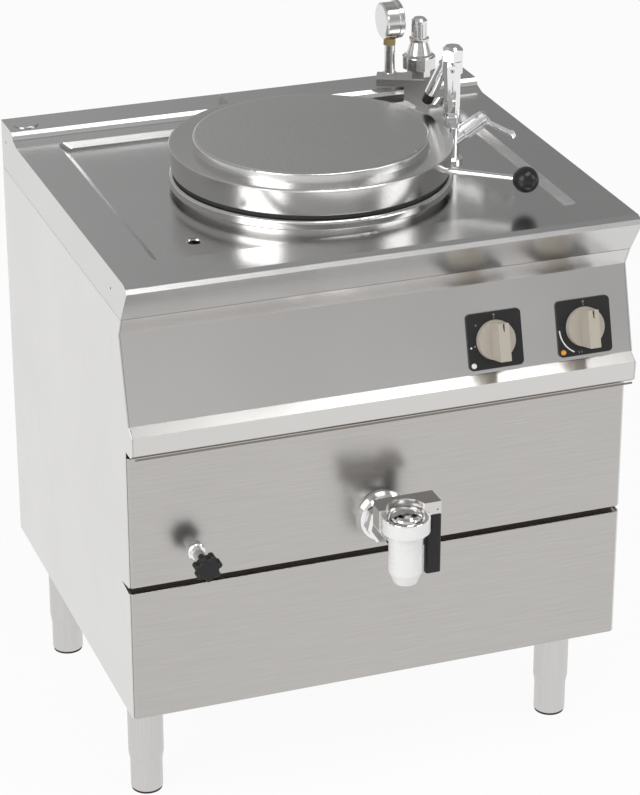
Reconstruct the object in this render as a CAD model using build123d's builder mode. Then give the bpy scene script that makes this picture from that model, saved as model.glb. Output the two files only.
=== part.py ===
"""Steam jacketed kettle: a free-standing electric boiling pan for a catering range.

Frame: millimetres, +X right, +Y back, +Z up.  The floor is Z = 0 and the origin
is the middle of the bounding box on the floor.  Every Y is counted from y_front,
the top front edge of the worktop, and the draw-off tap reaches in front of it.
"""
import os
from math import atan2, cos, degrees, hypot, pi, radians, sin

from build123d import *

os.makedirs("parts", exist_ok=True)

# ---------------------------------------------------------------- driving dimensions
width = 800.0
depth = 693.0
worktop_height = 920.0
tap_reach = 119.5
y_front = -(depth - tap_reach) / 2
y_back = y_front + depth
half_width = width / 2

sheet = 2.0
seam = 0.5
seat_gap = 0.3
slide_gap = 0.3
turn_gap = 0.05
hole_gap = 0.3

# worktop
lip_reach = 15.0
lip_drop = 10.0
lip_radius = 5.0
apron_height = 62.5
apron_inset = 20.6
cove_width = 25.0
cove_rise = 6.0
upstand_height = 17.0
upstand_depth = 72.0
recess_depth = 9.0
recess_slope = 12.0
recess_back_slope = 6.0
recess_corner = 12.0
recess_half_width = 321.0
recess_front = 82.0
recess_back = 592.0
drain_hole_x = -249.0
drain_hole_y = 145.0
drain_hole_radius = 12.0
plug_x = -368.0
plug_y = depth - 36.0
plug_radius = 20.0
plug_height = 2.0
side_hole_radius = 2.0
side_hole_places = ((67.0, worktop_height - 31.0), (depth - 27.0, worktop_height - 13.0))

# casing
tray_front = 17.0
tray_depth = 40.0
tray_corner = 4.0
casing_bottom = 199.5
groove_height = 10.0
groove_level = worktop_height - 500.6
top_gap = 13.4
fascia_bottom = worktop_height - 268.0
ledge_reach = 17.0
ledge_height = 35.0
ledge_inset = 5.0
fascia_top_inset = 35.0
fascia_slope_height = 131.0
fascia_neck = 28.9
flange_width = 14.0
post_size = 30.0
post_wall = 3.0
post_inset = 4.0
stand_spread = 115.0
louvre_length = 90.0
louvre_width = 5.0
louvre_pitch = 110.0
louvre_step = 16.0
louvre_rows = 5
louvre_level = 300.0

# legs
leg_x = half_width - 52.3
leg_front = 137.0
leg_back = 606.0
leg_radius = 28.0
foot_radius = 25.5
foot_wall = 3.0
foot_length = 115.0
foot_pad = 4.0
sleeve_bottom = 55.0
sleeve_taper_height = 13.0
sleeve_taper = 2.0

# pan, jacket and insulation
pan_x = -7.6
pan_y = 309.6
pan_radius = 200.0
pan_wall = 2.0
pan_floor = worktop_height - 458.0
pan_knuckle = 22.0
collar_radius = 218.7
collar_top = worktop_height + 14.8
collar_height = 15.2
collar_neck = 3.7
jacket_radius = 228.0
jacket_wall = 3.0
jacket_top = worktop_height - 40.0
jacket_shoulder = 10.0
jacket_floor = worktop_height - 495.0
jacket_foot = 28.0
wool_thickness = 20.0
wool_top = worktop_height - 80.0
element_radius = 4.25
element_spacing = 52.0
element_bend = 18.0
element_length = 250.0
element_level = worktop_height - 477.0
element_head_radius = 40.0
element_head_height = 30.0
steam_pipe_radius = 7.5
steam_pipe_wall = 1.5
steam_pipe_level = worktop_height - 62.0
steam_pipe_bend = 22.0

# lid
lid_radius = 218.6
lid_wall_radius = 215.0
lid_bottom = worktop_height + 21.2
lid_rim = worktop_height + 62.6
lid_ring_dip = 1.4
lid_tier_radius = 181.0
lid_tier_foot = 183.5
lid_tier = worktop_height + 75.2
lid_tier_round = 4.0
lid_bead = 4.0
lid_sheet = 2.0
lid_flange = 12.0
lining_sheet = 1.5
lining_rise = 8.0
gasket_width = 9.0
gasket_inset = 2.3
bar_radius = 5.0
bar_angle = -39.0
bar_level = worktop_height + 40.0
bar_root = 200.0
ball_radius = 20.0
ball_reach = 341.0

# lid hinge
hinge_y = 566.0
hinge_level = worktop_height + 35.0
arm_width = 117.0
arm_sheet = 3.0
arm_top = worktop_height + 57.0
arm_back = 585.0
arm_height = 32.0
arm_corner = 5.0
arm_swing_gap = 2.5
pin_radius = 5.0
pin_head = 3.0
lug_gap = 1.0
lug_thickness = 6.0
lug_radius = 12.0
bracket_plate = 4.0
bracket_front = 547.0
bracket_back = 587.0

# safety group
console_x = 217.0
console_y = depth - 74.0
console_angle = -25.0
console_length = 90.0
console_depth = 40.0
console_height = 12.0
console_top = worktop_height + 37.0
duct_start = 47.0
duct_length = 41.0
duct_inset = 2.0
duct_depth = 22.0
duct_bottom = worktop_height - 20.0
gauge_along = 22.0
gauge_across = 16.0
stem_radius = 9.0
stem_height = 56.0
stem_foot_flats = 21.0
stem_foot_height = 8.0
fitting_radius = 9.6
fitting_height = 11.0
gauge_radius = 31.5
gauge_length = 32.0
gauge_level = worktop_height + 135.0
gauge_step = 2.0
gauge_bezel = 9.0
gauge_round = 5.0
gauge_bore = 27.0
gauge_back_wall = 14.0
glass_radius = 28.6
glass_thickness = 2.0
dial_thickness = 1.0
needle_length = 20.0
needle_tail = 7.0
needle_width = 2.4
needle_thickness = 0.8
needle_hub = 3.5
needle_lift = 1.2
arbor_radius = 1.2
needle_zero = 225.0
valve_along = 70.0
valve_across = 20.0
valve_hex_flats = 33.0
valve_hex_height = 14.0
valve_groove_radius = 15.0
valve_groove_height = 1.5
valve_nut_radius = 27.0
valve_nut_height = 24.0
valve_nut_sides = 12
valve_cone_radius = 20.5
valve_neck_radius = 14.0
valve_cone_height = 28.0
valve_shoulder_radius = 16.5
valve_shoulder_height = 5.0
valve_cap_radius = 13.0
valve_cap_height = 34.0
valve_cap_ribs = 12
valve_stem_radius = 5.0
valve_stem_height = 12.0

# water mixer
mixer_x = 235.0
mixer_y = 335.0
column_radius = 13.0
column_top = worktop_height + 157.0
column_foot_radius = 19.0
column_foot_height = 8.0
column_tail_radius = 10.0
column_tail = 40.0
cap_flats = 31.0
cap_height = 22.0
cap_chamfer = 6.0
cap_neck_radius = 10.0
spout_ring_height = 20.0
spout_radius = 9.7
spout_bore = 7.2
spout_dx = -20.5
spout_dy = 53.0
spout_drop = 72.5
spout_root_drop = 10.0
spout_root = 17.0
spout_tip_length = 20.0
spout_tip_radius = 8.6
spout_tip_socket = 5.0
hot_level = worktop_height + 23.0
hot_tilt = 30.0
hot_length = 69.0
hot_radius = 13.5
hot_ribs = 18
cold_level = worktop_height + 65.0
cold_turn = -112.0
cold_length = 38.0
cold_radius = 10.0
cold_lever_length = 81.0
cold_hub_radius = 12.0
cold_cap_width = 18.0
cold_cap_length = 8.0
paddle_radius = 8.0
paddle_waist = 4.5
paddle_hole = 3.8
paddle_thickness = 5.0
lever_width = 9.0
lever_thickness = 8.5
lever_corner = 3.0
lever_hub_height = 9.0
lever_hook = 4.8
hot_hub_radius = 12.5
hot_hub_start = 55.0
hot_spindle = 4.0
cold_hub_start = 18.0
supply_radius = 4.8
supply_x = 278.0
supply_pitch = 10.4
supply_spacing = 26.0
supply_bottom = 182.0

# draw-off tap
tap_x = 0.0
tap_level = worktop_height - 441.0
tap_axis = 83.0
tap_pipe_radius = 19.0
tap_bore = 16.0
tap_flange_radius = 41.0
tap_flange_depth = 14.0
tap_nut_radius = 35.0
tap_nut_depth = 22.0
tap_nut_flats = 8
tap_sleeve_radius = 26.0
tap_sleeve_cap_radius = 36.5
tap_sleeve_cap_top = worktop_height - 397.3
tap_sleeve_cap_bottom = worktop_height - 418.0
tap_sleeve_end_radius = 18.5
tap_cone_top = worktop_height - 489.0
tap_spout_bottom = worktop_height - 503.5
tap_spout_radius = 17.0
tap_barrel_outer = 23.5
tap_neck_radius = 21.0
head_level = worktop_height - 406.0
plug_port = 11.0
plug_top_radius = 17.0
plug_bottom_radius = 14.5
plug_bottom = worktop_height - 468.0
head_radius = 33.0
head_height = 9.0
lever_height = 15.0
lever_sheet = 3.0
lever_cut_radius = 31.0
lever_left = 41.5
lever_back = 42.0
lever_front = 4.0
lever_reach = 58.0
lever_chamfer = 13.0
lever_tab_left = 38.5
lever_tab_height = 21.0
lever_skirt = 18.0
grip_thickness = 13.0
grip_width = 24.0
grip_neck_width = 17.5
grip_neck_height = 22.0
grip_length = 97.0
grip_round = 4.0

# level cock
cock_x = -296.0
cock_level = worktop_height - 449.0
cock_collar_radius = 14.0
cock_collar_depth = 8.0
cock_bonnet_radius = 9.0
cock_bonnet_length = 42.0
cock_tail_radius = 7.0
cock_tail = 30.0
level_pipe_offset = 60.0
level_pipe_radius = 6.0
level_pipe_bore = 4.5
star_radius = 16.5
star_lobe_radius = 5.0
star_lobes = 7
star_depth = 16.0
star_stem_radius = 4.0
star_stem_length = 24.0

# controls
control_left = 176.5
control_right = 322.7
control_down = 87.0
bezel_width = 88.0
bezel_height = 86.0
bezel_thickness = 3.0
bezel_corner = 7.0
knob_radius = 30.5
knob_skirt = 9.0
knob_height = 38.0
knob_grip_width = 17.0
knob_lift = 0.4
knob_stem_radius = 4.0
knob_stem_length = 14.0
knob_notch = 3.0
lamp_across = 37.0
lamp_down = 35.5
lamp_radius = 4.2
lamp_height = 2.2
lamp_stem = 12.0
switch_size = 42.0
switch_depth = 34.0
switch_bush_radius = 7.0
gland_x = 240.0
gland_y = 640.0
gland_radius = 13.0
gland_bore = 8.0
gland_nut_flats = 30.0
gland_reach = 22.0
terminal_width = 120.0
terminal_depth = 60.0
terminal_height = 45.0


# ---------------------------------------------------------------- shared forms
def outline(points, inset=0.0):
    """Closed face in the YZ plane from (distance behind y_front, height) points."""
    with BuildSketch(Plane.YZ) as face:
        with BuildLine():
            Polyline([(y_front + y, z) for y, z in points], close=True)
        make_face()
        if inset:
            offset(amount=-inset, kind=Kind.INTERSECTION, mode=Mode.REPLACE)
    return face.sketch


def block(x_range, y_range, z_range):
    """Plain box between two corners, y counted from y_front."""
    size = [high - low for low, high in (x_range, y_range, z_range)]
    middle = [(low + high) / 2 for low, high in (x_range, y_range, z_range)]
    return Pos(middle[0], y_front + middle[1], middle[2]) * Box(*size)


def turned(points, origin, direction=(0, 0, 1)):
    """Solid of revolution from (radius, distance along the axis) points."""
    frame = Plane(origin=origin, z_dir=direction)
    section = Plane(origin=origin, x_dir=frame.x_dir, z_dir=-frame.y_dir)
    with BuildSketch(section) as profile:
        with BuildLine():
            Polyline(points, close=True)
        make_face()
    return revolve(profile.sketch, axis=Axis(origin, direction))


def prism(sketch, origin, direction, length):
    """Flat shape carried to a point, faced along a direction and extruded."""
    return extrude(Plane(origin=origin, z_dir=direction) * sketch, amount=length)


def tube(points, bend, radius, bore=0.0):
    """Round pipe swept along straight runs joined by tangent arcs."""
    with BuildPart() as pipe:
        with BuildLine() as route:
            if bend:
                FilletPolyline(points, radius=bend)
            else:
                Line(points[0], points[1])
        with BuildSketch(Plane(origin=route.line @ 0, z_dir=route.line % 0)):
            Circle(radius)
            if bore:
                Circle(bore, mode=Mode.SUBTRACT)
        sweep(path=route.line)
    return pipe.part


def finish(shape, name):
    """Name the solid or solids of one piece and write them out."""
    solids = shape.solids()
    piece = Compound(children=solids) if len(solids) > 1 else solids[0]
    piece.label = name
    export_step(piece, f"parts/{name}.step")


stand_on = (Align.CENTER, Align.CENTER, Align.MIN)
hang_from = (Align.CENTER, Align.CENTER, Align.MAX)

# ---------------------------------------------------------------- derived places
seam_level = worktop_height - apron_height
fascia_top = worktop_height - apron_height - fascia_neck
inner_half = half_width - sheet - seam
pan_centre = (pan_x, y_front + pan_y, 0)
recess_floor = worktop_height - recess_depth
panel_face = y_front + tray_front
tap_y = y_front - tap_axis
fascia_run = fascia_top_inset + 1.0
fascia_lower = fascia_top - fascia_slope_height
fascia_lean = atan2(fascia_run, fascia_slope_height)


# ---------------------------------------------------------------- worktop
cove_front = depth - upstand_depth - cove_width + 2.0
upstand_top = worktop_height + upstand_height
worktop_profile = [
    (apron_inset, seam_level),
    (-lip_reach, worktop_height - lip_drop),
    (-lip_reach + lip_radius, worktop_height - lip_drop / 2 + 1.0),
    (0, worktop_height),
    (cove_front, worktop_height),
    (cove_front + cove_width - lip_radius, worktop_height + cove_rise),
    (depth - upstand_depth, worktop_height + upstand_height - lip_radius),
    (depth - upstand_depth + lip_radius, upstand_top),
    (depth, upstand_top),
    (depth, seam_level),
]
neck_radius = pan_radius + pan_wall + hole_gap + collar_neck


def on_console(along, across, level):
    """Point on the safety group: along and across its plate from the near left corner."""
    turn = radians(console_angle)
    x = console_x + along * cos(turn) - across * sin(turn)
    y = y_front + console_y + along * sin(turn) + across * cos(turn)
    return (x, y, level)


duct_middle = on_console(duct_start + duct_length / 2, (duct_inset + duct_depth) / 2, 0)


def recess_shape(grow, sink):
    """Sloping-sided pan of the recess, grown all round for the sheet below it."""
    floor_plane = Plane.XY.offset(recess_floor - sink)
    rim_plane = Plane.XY.offset(worktop_height)
    floor_middle = y_front + (recess_front + recess_back) / 2
    with BuildPart() as dip:
        floor_run = recess_back - recess_front + 2 * grow
        rim_run = recess_back - recess_front + recess_slope + recess_back_slope + 2 * grow
        rim_wide = 2 * (recess_half_width + recess_slope + grow)
        with BuildSketch(floor_plane):
            with Locations((0, floor_middle)):
                RectangleRounded(2 * (recess_half_width + grow), floor_run, recess_corner)
        with BuildSketch(rim_plane):
            with Locations((0, floor_middle + (recess_back_slope - recess_slope) / 2)):
                RectangleRounded(rim_wide, rim_run, recess_corner)
        loft(ruled=True)
    return dip.part


shell = extrude(outline(worktop_profile), amount=half_width, both=True)
shell -= extrude(outline(worktop_profile, sheet), amount=half_width - sheet, both=True)
shell -= block(
    (-half_width + flange_width, half_width - flange_width),
    (apron_inset + flange_width, depth - flange_width),
    (seam_level - 1, seam_level + sheet + 1),
)
shell += recess_shape(sheet, sheet)
shell -= recess_shape(0.0, 0.0)
shell += Pos(pan_x, y_front + pan_y, recess_floor - sheet) * Cylinder(
    neck_radius, collar_top - collar_height - recess_floor + sheet, align=stand_on
)
shell -= Pos(pan_x, y_front + pan_y, recess_floor) * Cylinder(pan_radius + pan_wall + hole_gap, 100)
shell -= Pos(drain_hole_x, y_front + drain_hole_y, recess_floor) * Cylinder(drain_hole_radius, 20)
shell -= Pos(mixer_x, y_front + mixer_y, recess_floor) * Cylinder(column_tail_radius + hole_gap, 20)
shell -= Pos(duct_middle[0], duct_middle[1], recess_floor) * Cylinder(steam_pipe_radius + hole_gap, 40)
plug_hole_radius = plug_radius - cove_rise
shell -= Pos(plug_x, y_front + plug_y, upstand_top) * Cylinder(plug_hole_radius, 10)
for side in (-1, 1):
    for y, z in side_hole_places:
        shell -= Pos(side * half_width, y_front + y, z) * Rot(0, 90, 0) * Cylinder(side_hole_radius, 10)
shell = fillet(
    shell.edges().filter_by(Axis.Z).filter_by(
        lambda e: abs(abs(e.center().X) - half_width) < 0.1 and e.center().Y > y_back - 1
    ),
    1.5,
)
finish(shell, "worktop")

cap = Pos(plug_x, y_front + plug_y, upstand_top) * Cylinder(
    plug_radius, plug_height, align=stand_on
)
cap = chamfer(cap.edges().filter_by(GeomType.CIRCLE).sort_by(Axis.Z)[-1], 0.8)
cap += Pos(plug_x, y_front + plug_y, upstand_top - 6.0) * Cylinder(
    plug_hole_radius - slide_gap, 6.0, align=stand_on
)
finish(cap, "upstand_plug")

# ---------------------------------------------------------------- side and back panels
fascia_front = [
    (-ledge_inset - 4.0, fascia_bottom),
    (-ledge_reach + 1.5, fascia_bottom + ledge_inset),
    (-ledge_reach, fascia_bottom + ledge_height),
    (-1.0, fascia_lower),
    (fascia_top_inset, fascia_top),
    (apron_inset, seam_level - seam),
]
side_front = tray_front + tray_corner
groove_low = groove_level - groove_height / 2
groove_high = groove_level + groove_height / 2
side_profile = (
    [(depth - sheet, casing_bottom), (side_front, casing_bottom), (side_front, groove_low)]
    + [(side_front + 35.0, groove_level), (side_front, groove_high)]
    + [(side_front, fascia_bottom)]
    + fascia_front
    + [(depth - sheet, seam_level - seam)]
)
for name, side in (("left_side_panel", -1), ("right_side_panel", 1)):
    face = Pos(side * half_width, 0, 0) * outline(side_profile)
    plate = extrude(face, amount=-side * sheet)
    plate += block(
        sorted((side * half_width, side * (half_width - flange_width))),
        (side_front + 60.0, depth - sheet),
        (casing_bottom, casing_bottom + sheet),
    )
    finish(plate, name)

back = block((-half_width, half_width), (depth - sheet, depth), (casing_bottom, seam_level - seam))
for column in range(-2, 3):
    for row in range(louvre_rows):
        slot = Pos(louvre_pitch * column, y_back, louvre_level + louvre_step * row) * Rot(90, 0, 0)
        back -= slot * extrude(SlotOverall(louvre_length, louvre_width), amount=6, both=True)
finish(back, "back_panel")

# ---------------------------------------------------------------- fascia
fascia_profile = [(60.0, fascia_bottom)] + fascia_front + [(60.0, seam_level - seam)]
fascia = extrude(outline(fascia_profile), amount=inner_half, both=True)
fascia -= extrude(outline(fascia_profile, sheet), amount=inner_half - sheet, both=True)
fascia -= block(
    (-inner_half + flange_width, inner_half - flange_width),
    (60.0 - sheet - 1, 61.0),
    (fascia_bottom + flange_width, seam_level - flange_width),
)


def on_fascia(x, down, lift=0.0):
    """Frame on the sloping face: down counts along the slope from its top bend."""
    y = y_front + fascia_top_inset - down * sin(fascia_lean) - lift * cos(fascia_lean)
    z = fascia_top - down * cos(fascia_lean) + lift * sin(fascia_lean)
    return Plane(origin=(x, y, z), x_dir=(1, 0, 0), z_dir=(0, -cos(fascia_lean), sin(fascia_lean)))


control_xs = (control_left, control_right)
for x in control_xs:
    hole_frame = on_fascia(x, control_down)
    fascia -= extrude(hole_frame * Circle(switch_bush_radius + hole_gap), amount=6, both=True)
    lamp_frame = on_fascia(x - lamp_across, control_down + lamp_down)
    fascia -= extrude(lamp_frame * Circle(lamp_radius - 1.0), amount=6, both=True)
finish(fascia, "control_fascia")

# ---------------------------------------------------------------- front panels
panel_half = half_width - sheet - seat_gap


def front_tray(low, high, name, holes):
    """Pressed panel with returned edges, rounded down its two upright corners."""
    tray = block((-panel_half, panel_half), (tray_front, tray_front + tray_depth), (low, high))
    upright = tray.edges().filter_by(Axis.Z).sort_by(Axis.Y)[:2]
    tray = fillet(upright, tray_corner)
    level = tray.edges().filter_by(Axis.X).sort_by(Axis.Y)[:2]
    tray = fillet(level, 1.0)
    tray -= block(
        (-panel_half + sheet, panel_half - sheet),
        (tray_front + sheet, tray_front + tray_depth + 1),
        (low + sheet, high - sheet),
    )
    for x, z, radius in holes:
        tray -= Pos(x, panel_face, z) * Rot(90, 0, 0) * Cylinder(radius, 20)
    finish(tray, name)


upper_panel_top = fascia_bottom - top_gap
front_tray(
    groove_high,
    upper_panel_top,
    "upper_front_panel",
    [(tap_x, tap_level, tap_pipe_radius + hole_gap), (cock_x, cock_level, cock_tail_radius + hole_gap)],
)
front_tray(casing_bottom, groove_low, "lower_front_panel", [])
groove = block((-panel_half, panel_half), (tray_front + 24.0, tray_front + 26.0), (groove_low, groove_high))
groove += block(
    (-panel_half, panel_half),
    (tray_front + 14.0, tray_front + 16.0),
    (upper_panel_top + seat_gap, fascia_bottom - seat_gap),
)
finish(groove, "shadow_strips")

# ---------------------------------------------------------------- frame, legs and feet
leg_places = [(side * leg_x, y_front + y) for side in (-1, 1) for y in (leg_front, leg_back)]
frame_front = tray_front + tray_depth + 3.0
deck_top = casing_bottom + 2 * sheet
deck = block(
    (-half_width + sheet, half_width - sheet),
    (frame_front, depth - sheet),
    (casing_bottom + sheet, deck_top),
)
deck -= Pos(gland_x, y_front + gland_y, casing_bottom) * Cylinder(gland_radius, 20)
deck -= Pos(drain_hole_x, y_front + drain_hole_y, casing_bottom) * Cylinder(drain_hole_radius + 4, 20)
for step in (-1, 1):
    supply_y = y_front + mixer_y + step * supply_spacing / 2
    deck -= Pos(supply_x, supply_y, casing_bottom) * Cylinder(supply_radius + 3, 20)
for x, y in leg_places:
    deck -= Pos(x, y, casing_bottom) * Cylinder(foot_radius - 6, 30)


def square_tube(x, y, low, high):
    """Upright square tube standing between two levels."""
    outer = Box(post_size, post_size, high - low)
    inner = Box(post_size - 2 * post_wall, post_size - 2 * post_wall, high - low + 1)
    return Pos(x, y, (low + high) / 2) * (outer - inner)


frame_pieces = [deck]
post_middle = (frame_front + post_size / 2, depth - sheet - post_inset - post_size / 2)
rail_low = seam_level - post_size
for side in (-1, 1):
    post_x = side * (half_width - sheet - post_inset - post_size / 2)
    for y in post_middle:
        frame_pieces.append(square_tube(post_x, y_front + y, deck_top, seam_level))
    frame_pieces.append(
        block(
            (post_x - post_size / 2, post_x + post_size / 2),
            (post_middle[0] + post_size / 2, post_middle[1] - post_size / 2),
            (rail_low, seam_level - 1.0),
        )
    )
    for step in (-1, 1):
        stand_y = y_front + pan_y + step * stand_spread
        frame_pieces.append(square_tube(pan_x + side * stand_spread, stand_y, deck_top, jacket_floor))
finish(Compound(children=frame_pieces), "base_frame")

sleeves = []
sleeve_profile = [
    (foot_radius + turn_gap, sleeve_bottom),
    (leg_radius - sleeve_taper, sleeve_bottom),
    (leg_radius, sleeve_bottom + sleeve_taper_height),
    (leg_radius, casing_bottom + sheet),
    (foot_radius + turn_gap, casing_bottom + sheet),
]
for x, y in leg_places:
    sleeves.append(turned(sleeve_profile, (x, y, 0)))
finish(Compound(children=sleeves), "leg_sleeves")

foot_profile = [
    (0, 0),
    (foot_radius - 1.5, 0),
    (foot_radius - 1.5, foot_pad),
    (foot_radius, foot_pad + 1.0),
    (foot_radius, foot_length),
    (foot_radius - foot_wall, foot_length),
    (foot_radius - foot_wall, 10.0),
    (0, 10.0),
]
for x, y in leg_places:
    corner = "left" if x < 0 else "right"
    end = "front" if y < 0 else "rear"
    finish(turned(foot_profile, (x, y, 0)), f"foot_{end}_{corner}")

# ---------------------------------------------------------------- pan, jacket and heating
collar_bottom = collar_top - collar_height
pan_profile = [
    (0, pan_floor - pan_wall),
    (pan_radius + pan_wall, pan_floor - pan_wall),
    (pan_radius + pan_wall, collar_top),
    (pan_radius, collar_top),
    (pan_radius, pan_floor),
    (0, pan_floor),
]
pan = turned(pan_profile, pan_centre)


def at_circle(level, radius):
    """Test for a level round edge of one radius about the pan."""
    return lambda e: abs(e.center().Z - level) < 0.1 and abs(e.length - 2 * pi * radius) < 1.0


pan = fillet(pan.edges().filter_by(at_circle(pan_floor, pan_radius)), pan_knuckle)
under_edge = pan.edges().filter_by(at_circle(pan_floor - pan_wall, pan_radius + pan_wall))
pan = fillet(under_edge, pan_knuckle + pan_wall)
run_front = Plane(origin=(tap_x, y_front + pan_y - 150.0, tap_level), z_dir=(0, -1, 0))
pan -= extrude(run_front * Circle(tap_bore), amount=100)

collar_profile = [
    (pan_radius + pan_wall, collar_bottom),
    (collar_radius, collar_bottom),
    (collar_radius, collar_top),
    (pan_radius + pan_wall, collar_top),
]
collar = turned(collar_profile, pan_centre)
collar = fillet(collar.edges().filter_by(at_circle(collar_bottom, collar_radius)), 2.0)
collar = fillet(collar.edges().filter_by(at_circle(collar_top, collar_radius)), 5.0)
pan += collar

jacket_profile = [
    (0, jacket_floor),
    (jacket_radius - jacket_foot, jacket_floor),
    (jacket_radius, jacket_floor + jacket_foot),
    (jacket_radius, jacket_top - jacket_shoulder),
    (pan_radius + pan_wall + seat_gap, jacket_top),
    (pan_radius + pan_wall + seat_gap, jacket_top - jacket_wall),
    (jacket_radius - jacket_wall, jacket_top - jacket_shoulder - jacket_wall),
    (jacket_radius - jacket_wall, jacket_floor + jacket_foot + 1.2),
    (jacket_radius - jacket_foot - 1.2, jacket_floor + jacket_wall),
    (0, jacket_floor + jacket_wall),
]
jacket = turned(jacket_profile, pan_centre)
jacket -= extrude(run_front * Circle(tap_pipe_radius + seat_gap), amount=120)
element_ys = [y_front + pan_y + step * element_spacing for step in (-1, 0, 1)]
element_x = pan_x + element_spacing
for y in element_ys:
    for step in (-1, 1):
        hole = Cylinder(element_radius + seat_gap, 20)
        jacket -= Pos(element_x, y + step * element_bend / 2, jacket_floor) * hole
finish(jacket, "steam_jacket")

wool_profile = [
    (jacket_radius + seat_gap, jacket_floor + jacket_foot + 6.0),
    (jacket_radius + wool_thickness, jacket_floor + jacket_foot + 6.0),
    (jacket_radius + wool_thickness, wool_top),
    (jacket_radius + seat_gap, wool_top),
]
wool = turned(wool_profile, pan_centre)
wool -= extrude(run_front * Circle(tap_pipe_radius + 3.0), amount=140)
level_run = (pan_x - jacket_radius - 50.0, y_front + pan_y - level_pipe_offset, cock_level)
wool -= prism(Circle(level_pipe_radius + 1.0), level_run, (1, 0, 0), 100.0)
finish(wool, "insulation")

elements = []
element_low = jacket_floor - element_head_height / 2
for y in element_ys:
    near, far = y - element_bend / 2, y + element_bend / 2
    hairpin = [
        (element_x, near, element_low),
        (element_x, near, element_level),
        (element_x - element_length, near, element_level),
        (element_x - element_length, far, element_level),
        (element_x, far, element_level),
        (element_x, far, element_low),
    ]
    elements.append(tube(hairpin, element_bend / 2 - 1.0, element_radius))

head = Pos(element_x, y_front + pan_y, jacket_floor) * Cylinder(
    element_spacing + element_head_radius, element_head_height, align=hang_from
)
for element in elements:
    head += element
finish(head, "heating_elements")

# ---------------------------------------------------------------- pipes under the worktop
drain = turned(
    [
        (drain_hole_radius - 3.0, casing_bottom - 20.0),
        (drain_hole_radius - seam, casing_bottom - 20.0),
        (drain_hole_radius - seam, recess_floor - sheet - 6.0),
        (drain_hole_radius + 5.0, recess_floor - sheet - 6.0),
        (drain_hole_radius + 5.0, recess_floor - sheet),
        (drain_hole_radius - 3.0, recess_floor - sheet),
    ],
    (drain_hole_x, y_front + drain_hole_y, 0),
)
finish(drain, "worktop_drain")

steam_turn = atan2(duct_middle[1] - pan_centre[1], duct_middle[0] - pan_x)
steam_reach = jacket_radius - jacket_wall / 2
steam_route = [
    (pan_x + steam_reach * cos(steam_turn), pan_centre[1] + steam_reach * sin(steam_turn), steam_pipe_level),
    (duct_middle[0], duct_middle[1], steam_pipe_level),
    (duct_middle[0], duct_middle[1], console_top - console_height),
]
steam_pipe = tube(steam_route, steam_pipe_bend, steam_pipe_radius, steam_pipe_radius - steam_pipe_wall)
steam_pipe -= Pos(pan_x, y_front + pan_y, steam_pipe_level) * Cylinder(jacket_radius, 60)
finish(steam_pipe, "steam_pipe")

supplies = []
for step in (-1, 1):
    near_y = y_front + mixer_y + step * supply_pitch / 2
    far_y = y_front + mixer_y + step * supply_spacing / 2
    route = [
        (mixer_x, near_y, recess_floor - column_tail),
        (mixer_x, near_y, recess_floor - column_tail - 16.0),
        (supply_x, far_y, recess_floor - column_tail - 31.0),
        (supply_x, far_y, supply_bottom),
    ]
    supplies.append(tube(route, 8.0, supply_radius, supply_radius - 1.2))
finish(Compound(children=supplies), "mixer_supply_pipes")

# ---------------------------------------------------------------- lid
lid_outer = [
    (0, lid_tier),
    (lid_tier_radius, lid_tier),
    (lid_tier_foot, lid_rim - lid_ring_dip),
    (lid_radius - lid_bead, lid_rim),
    (lid_radius - 1.0, lid_rim),
    (lid_radius, lid_rim - 1.0),
    (lid_radius, lid_rim - lid_bead + 1.0),
    (lid_radius - 1.5, lid_rim - lid_bead),
    (lid_wall_radius, lid_bottom + 2.0),
    (lid_wall_radius - 1.5, lid_bottom),
]
lid_inner = [
    (lid_wall_radius - lid_flange, lid_bottom),
    (lid_wall_radius - lid_flange, lid_bottom + lid_sheet),
    (lid_wall_radius - lid_sheet - 0.5, lid_bottom + lid_sheet),
    (lid_radius - lid_sheet - 2.0, lid_rim - lid_bead),
    (lid_radius - lid_sheet - 3.0, lid_rim - lid_sheet),
    (lid_tier_foot - lid_sheet, lid_rim - lid_ring_dip - lid_sheet),
    (lid_tier_radius - lid_sheet, lid_tier - lid_sheet),
    (0, lid_tier - lid_sheet),
]
lid = turned(lid_outer + lid_inner, pan_centre)
lid = fillet(lid.edges().filter_by(at_circle(lid_tier, lid_tier_radius)), lid_tier_round)
bar_turn = radians(bar_angle)
bar_direction = (cos(bar_turn), sin(bar_turn), 0)


def along_bar(distance, level=bar_level):
    """Point on the handle's line, its distance taken from the lid's axis."""
    return (pan_x + distance * cos(bar_turn), pan_centre[1] + distance * sin(bar_turn), level)


lid -= prism(Circle(bar_radius + seat_gap), along_bar(lid_wall_radius - 10.0), bar_direction, 20.0)

lining_radius = lid_wall_radius - lid_flange - seam
lining = turned(
    [
        (0, lid_bottom + lining_rise),
        (lining_radius - 30.0, lid_bottom + lining_rise),
        (lining_radius - 12.0, lid_bottom),
        (lid_wall_radius - 6.0, lid_bottom),
        (lid_wall_radius - 6.0, lid_bottom - lining_sheet),
        (lining_radius - 12.6, lid_bottom - lining_sheet),
        (lining_radius - 30.6, lid_bottom + lining_rise - lining_sheet),
        (0, lid_bottom + lining_rise - lining_sheet),
    ],
    pan_centre,
)
lid += lining
finish(lid, "lid_shell")

gasket_outer = lid_wall_radius - gasket_inset
gasket = turned(
    [
        (gasket_outer - gasket_width, collar_top + seat_gap),
        (gasket_outer - 1.0, collar_top + seat_gap),
        (gasket_outer, collar_top + seat_gap + 1.0),
        (gasket_outer, lid_bottom),
        (lid_wall_radius - 6.0, lid_bottom),
        (lid_wall_radius - 6.0, lid_bottom - lining_sheet),
        (gasket_outer - gasket_width, lid_bottom - lining_sheet),
    ],
    pan_centre,
)
finish(gasket, "lid_gasket")

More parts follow.
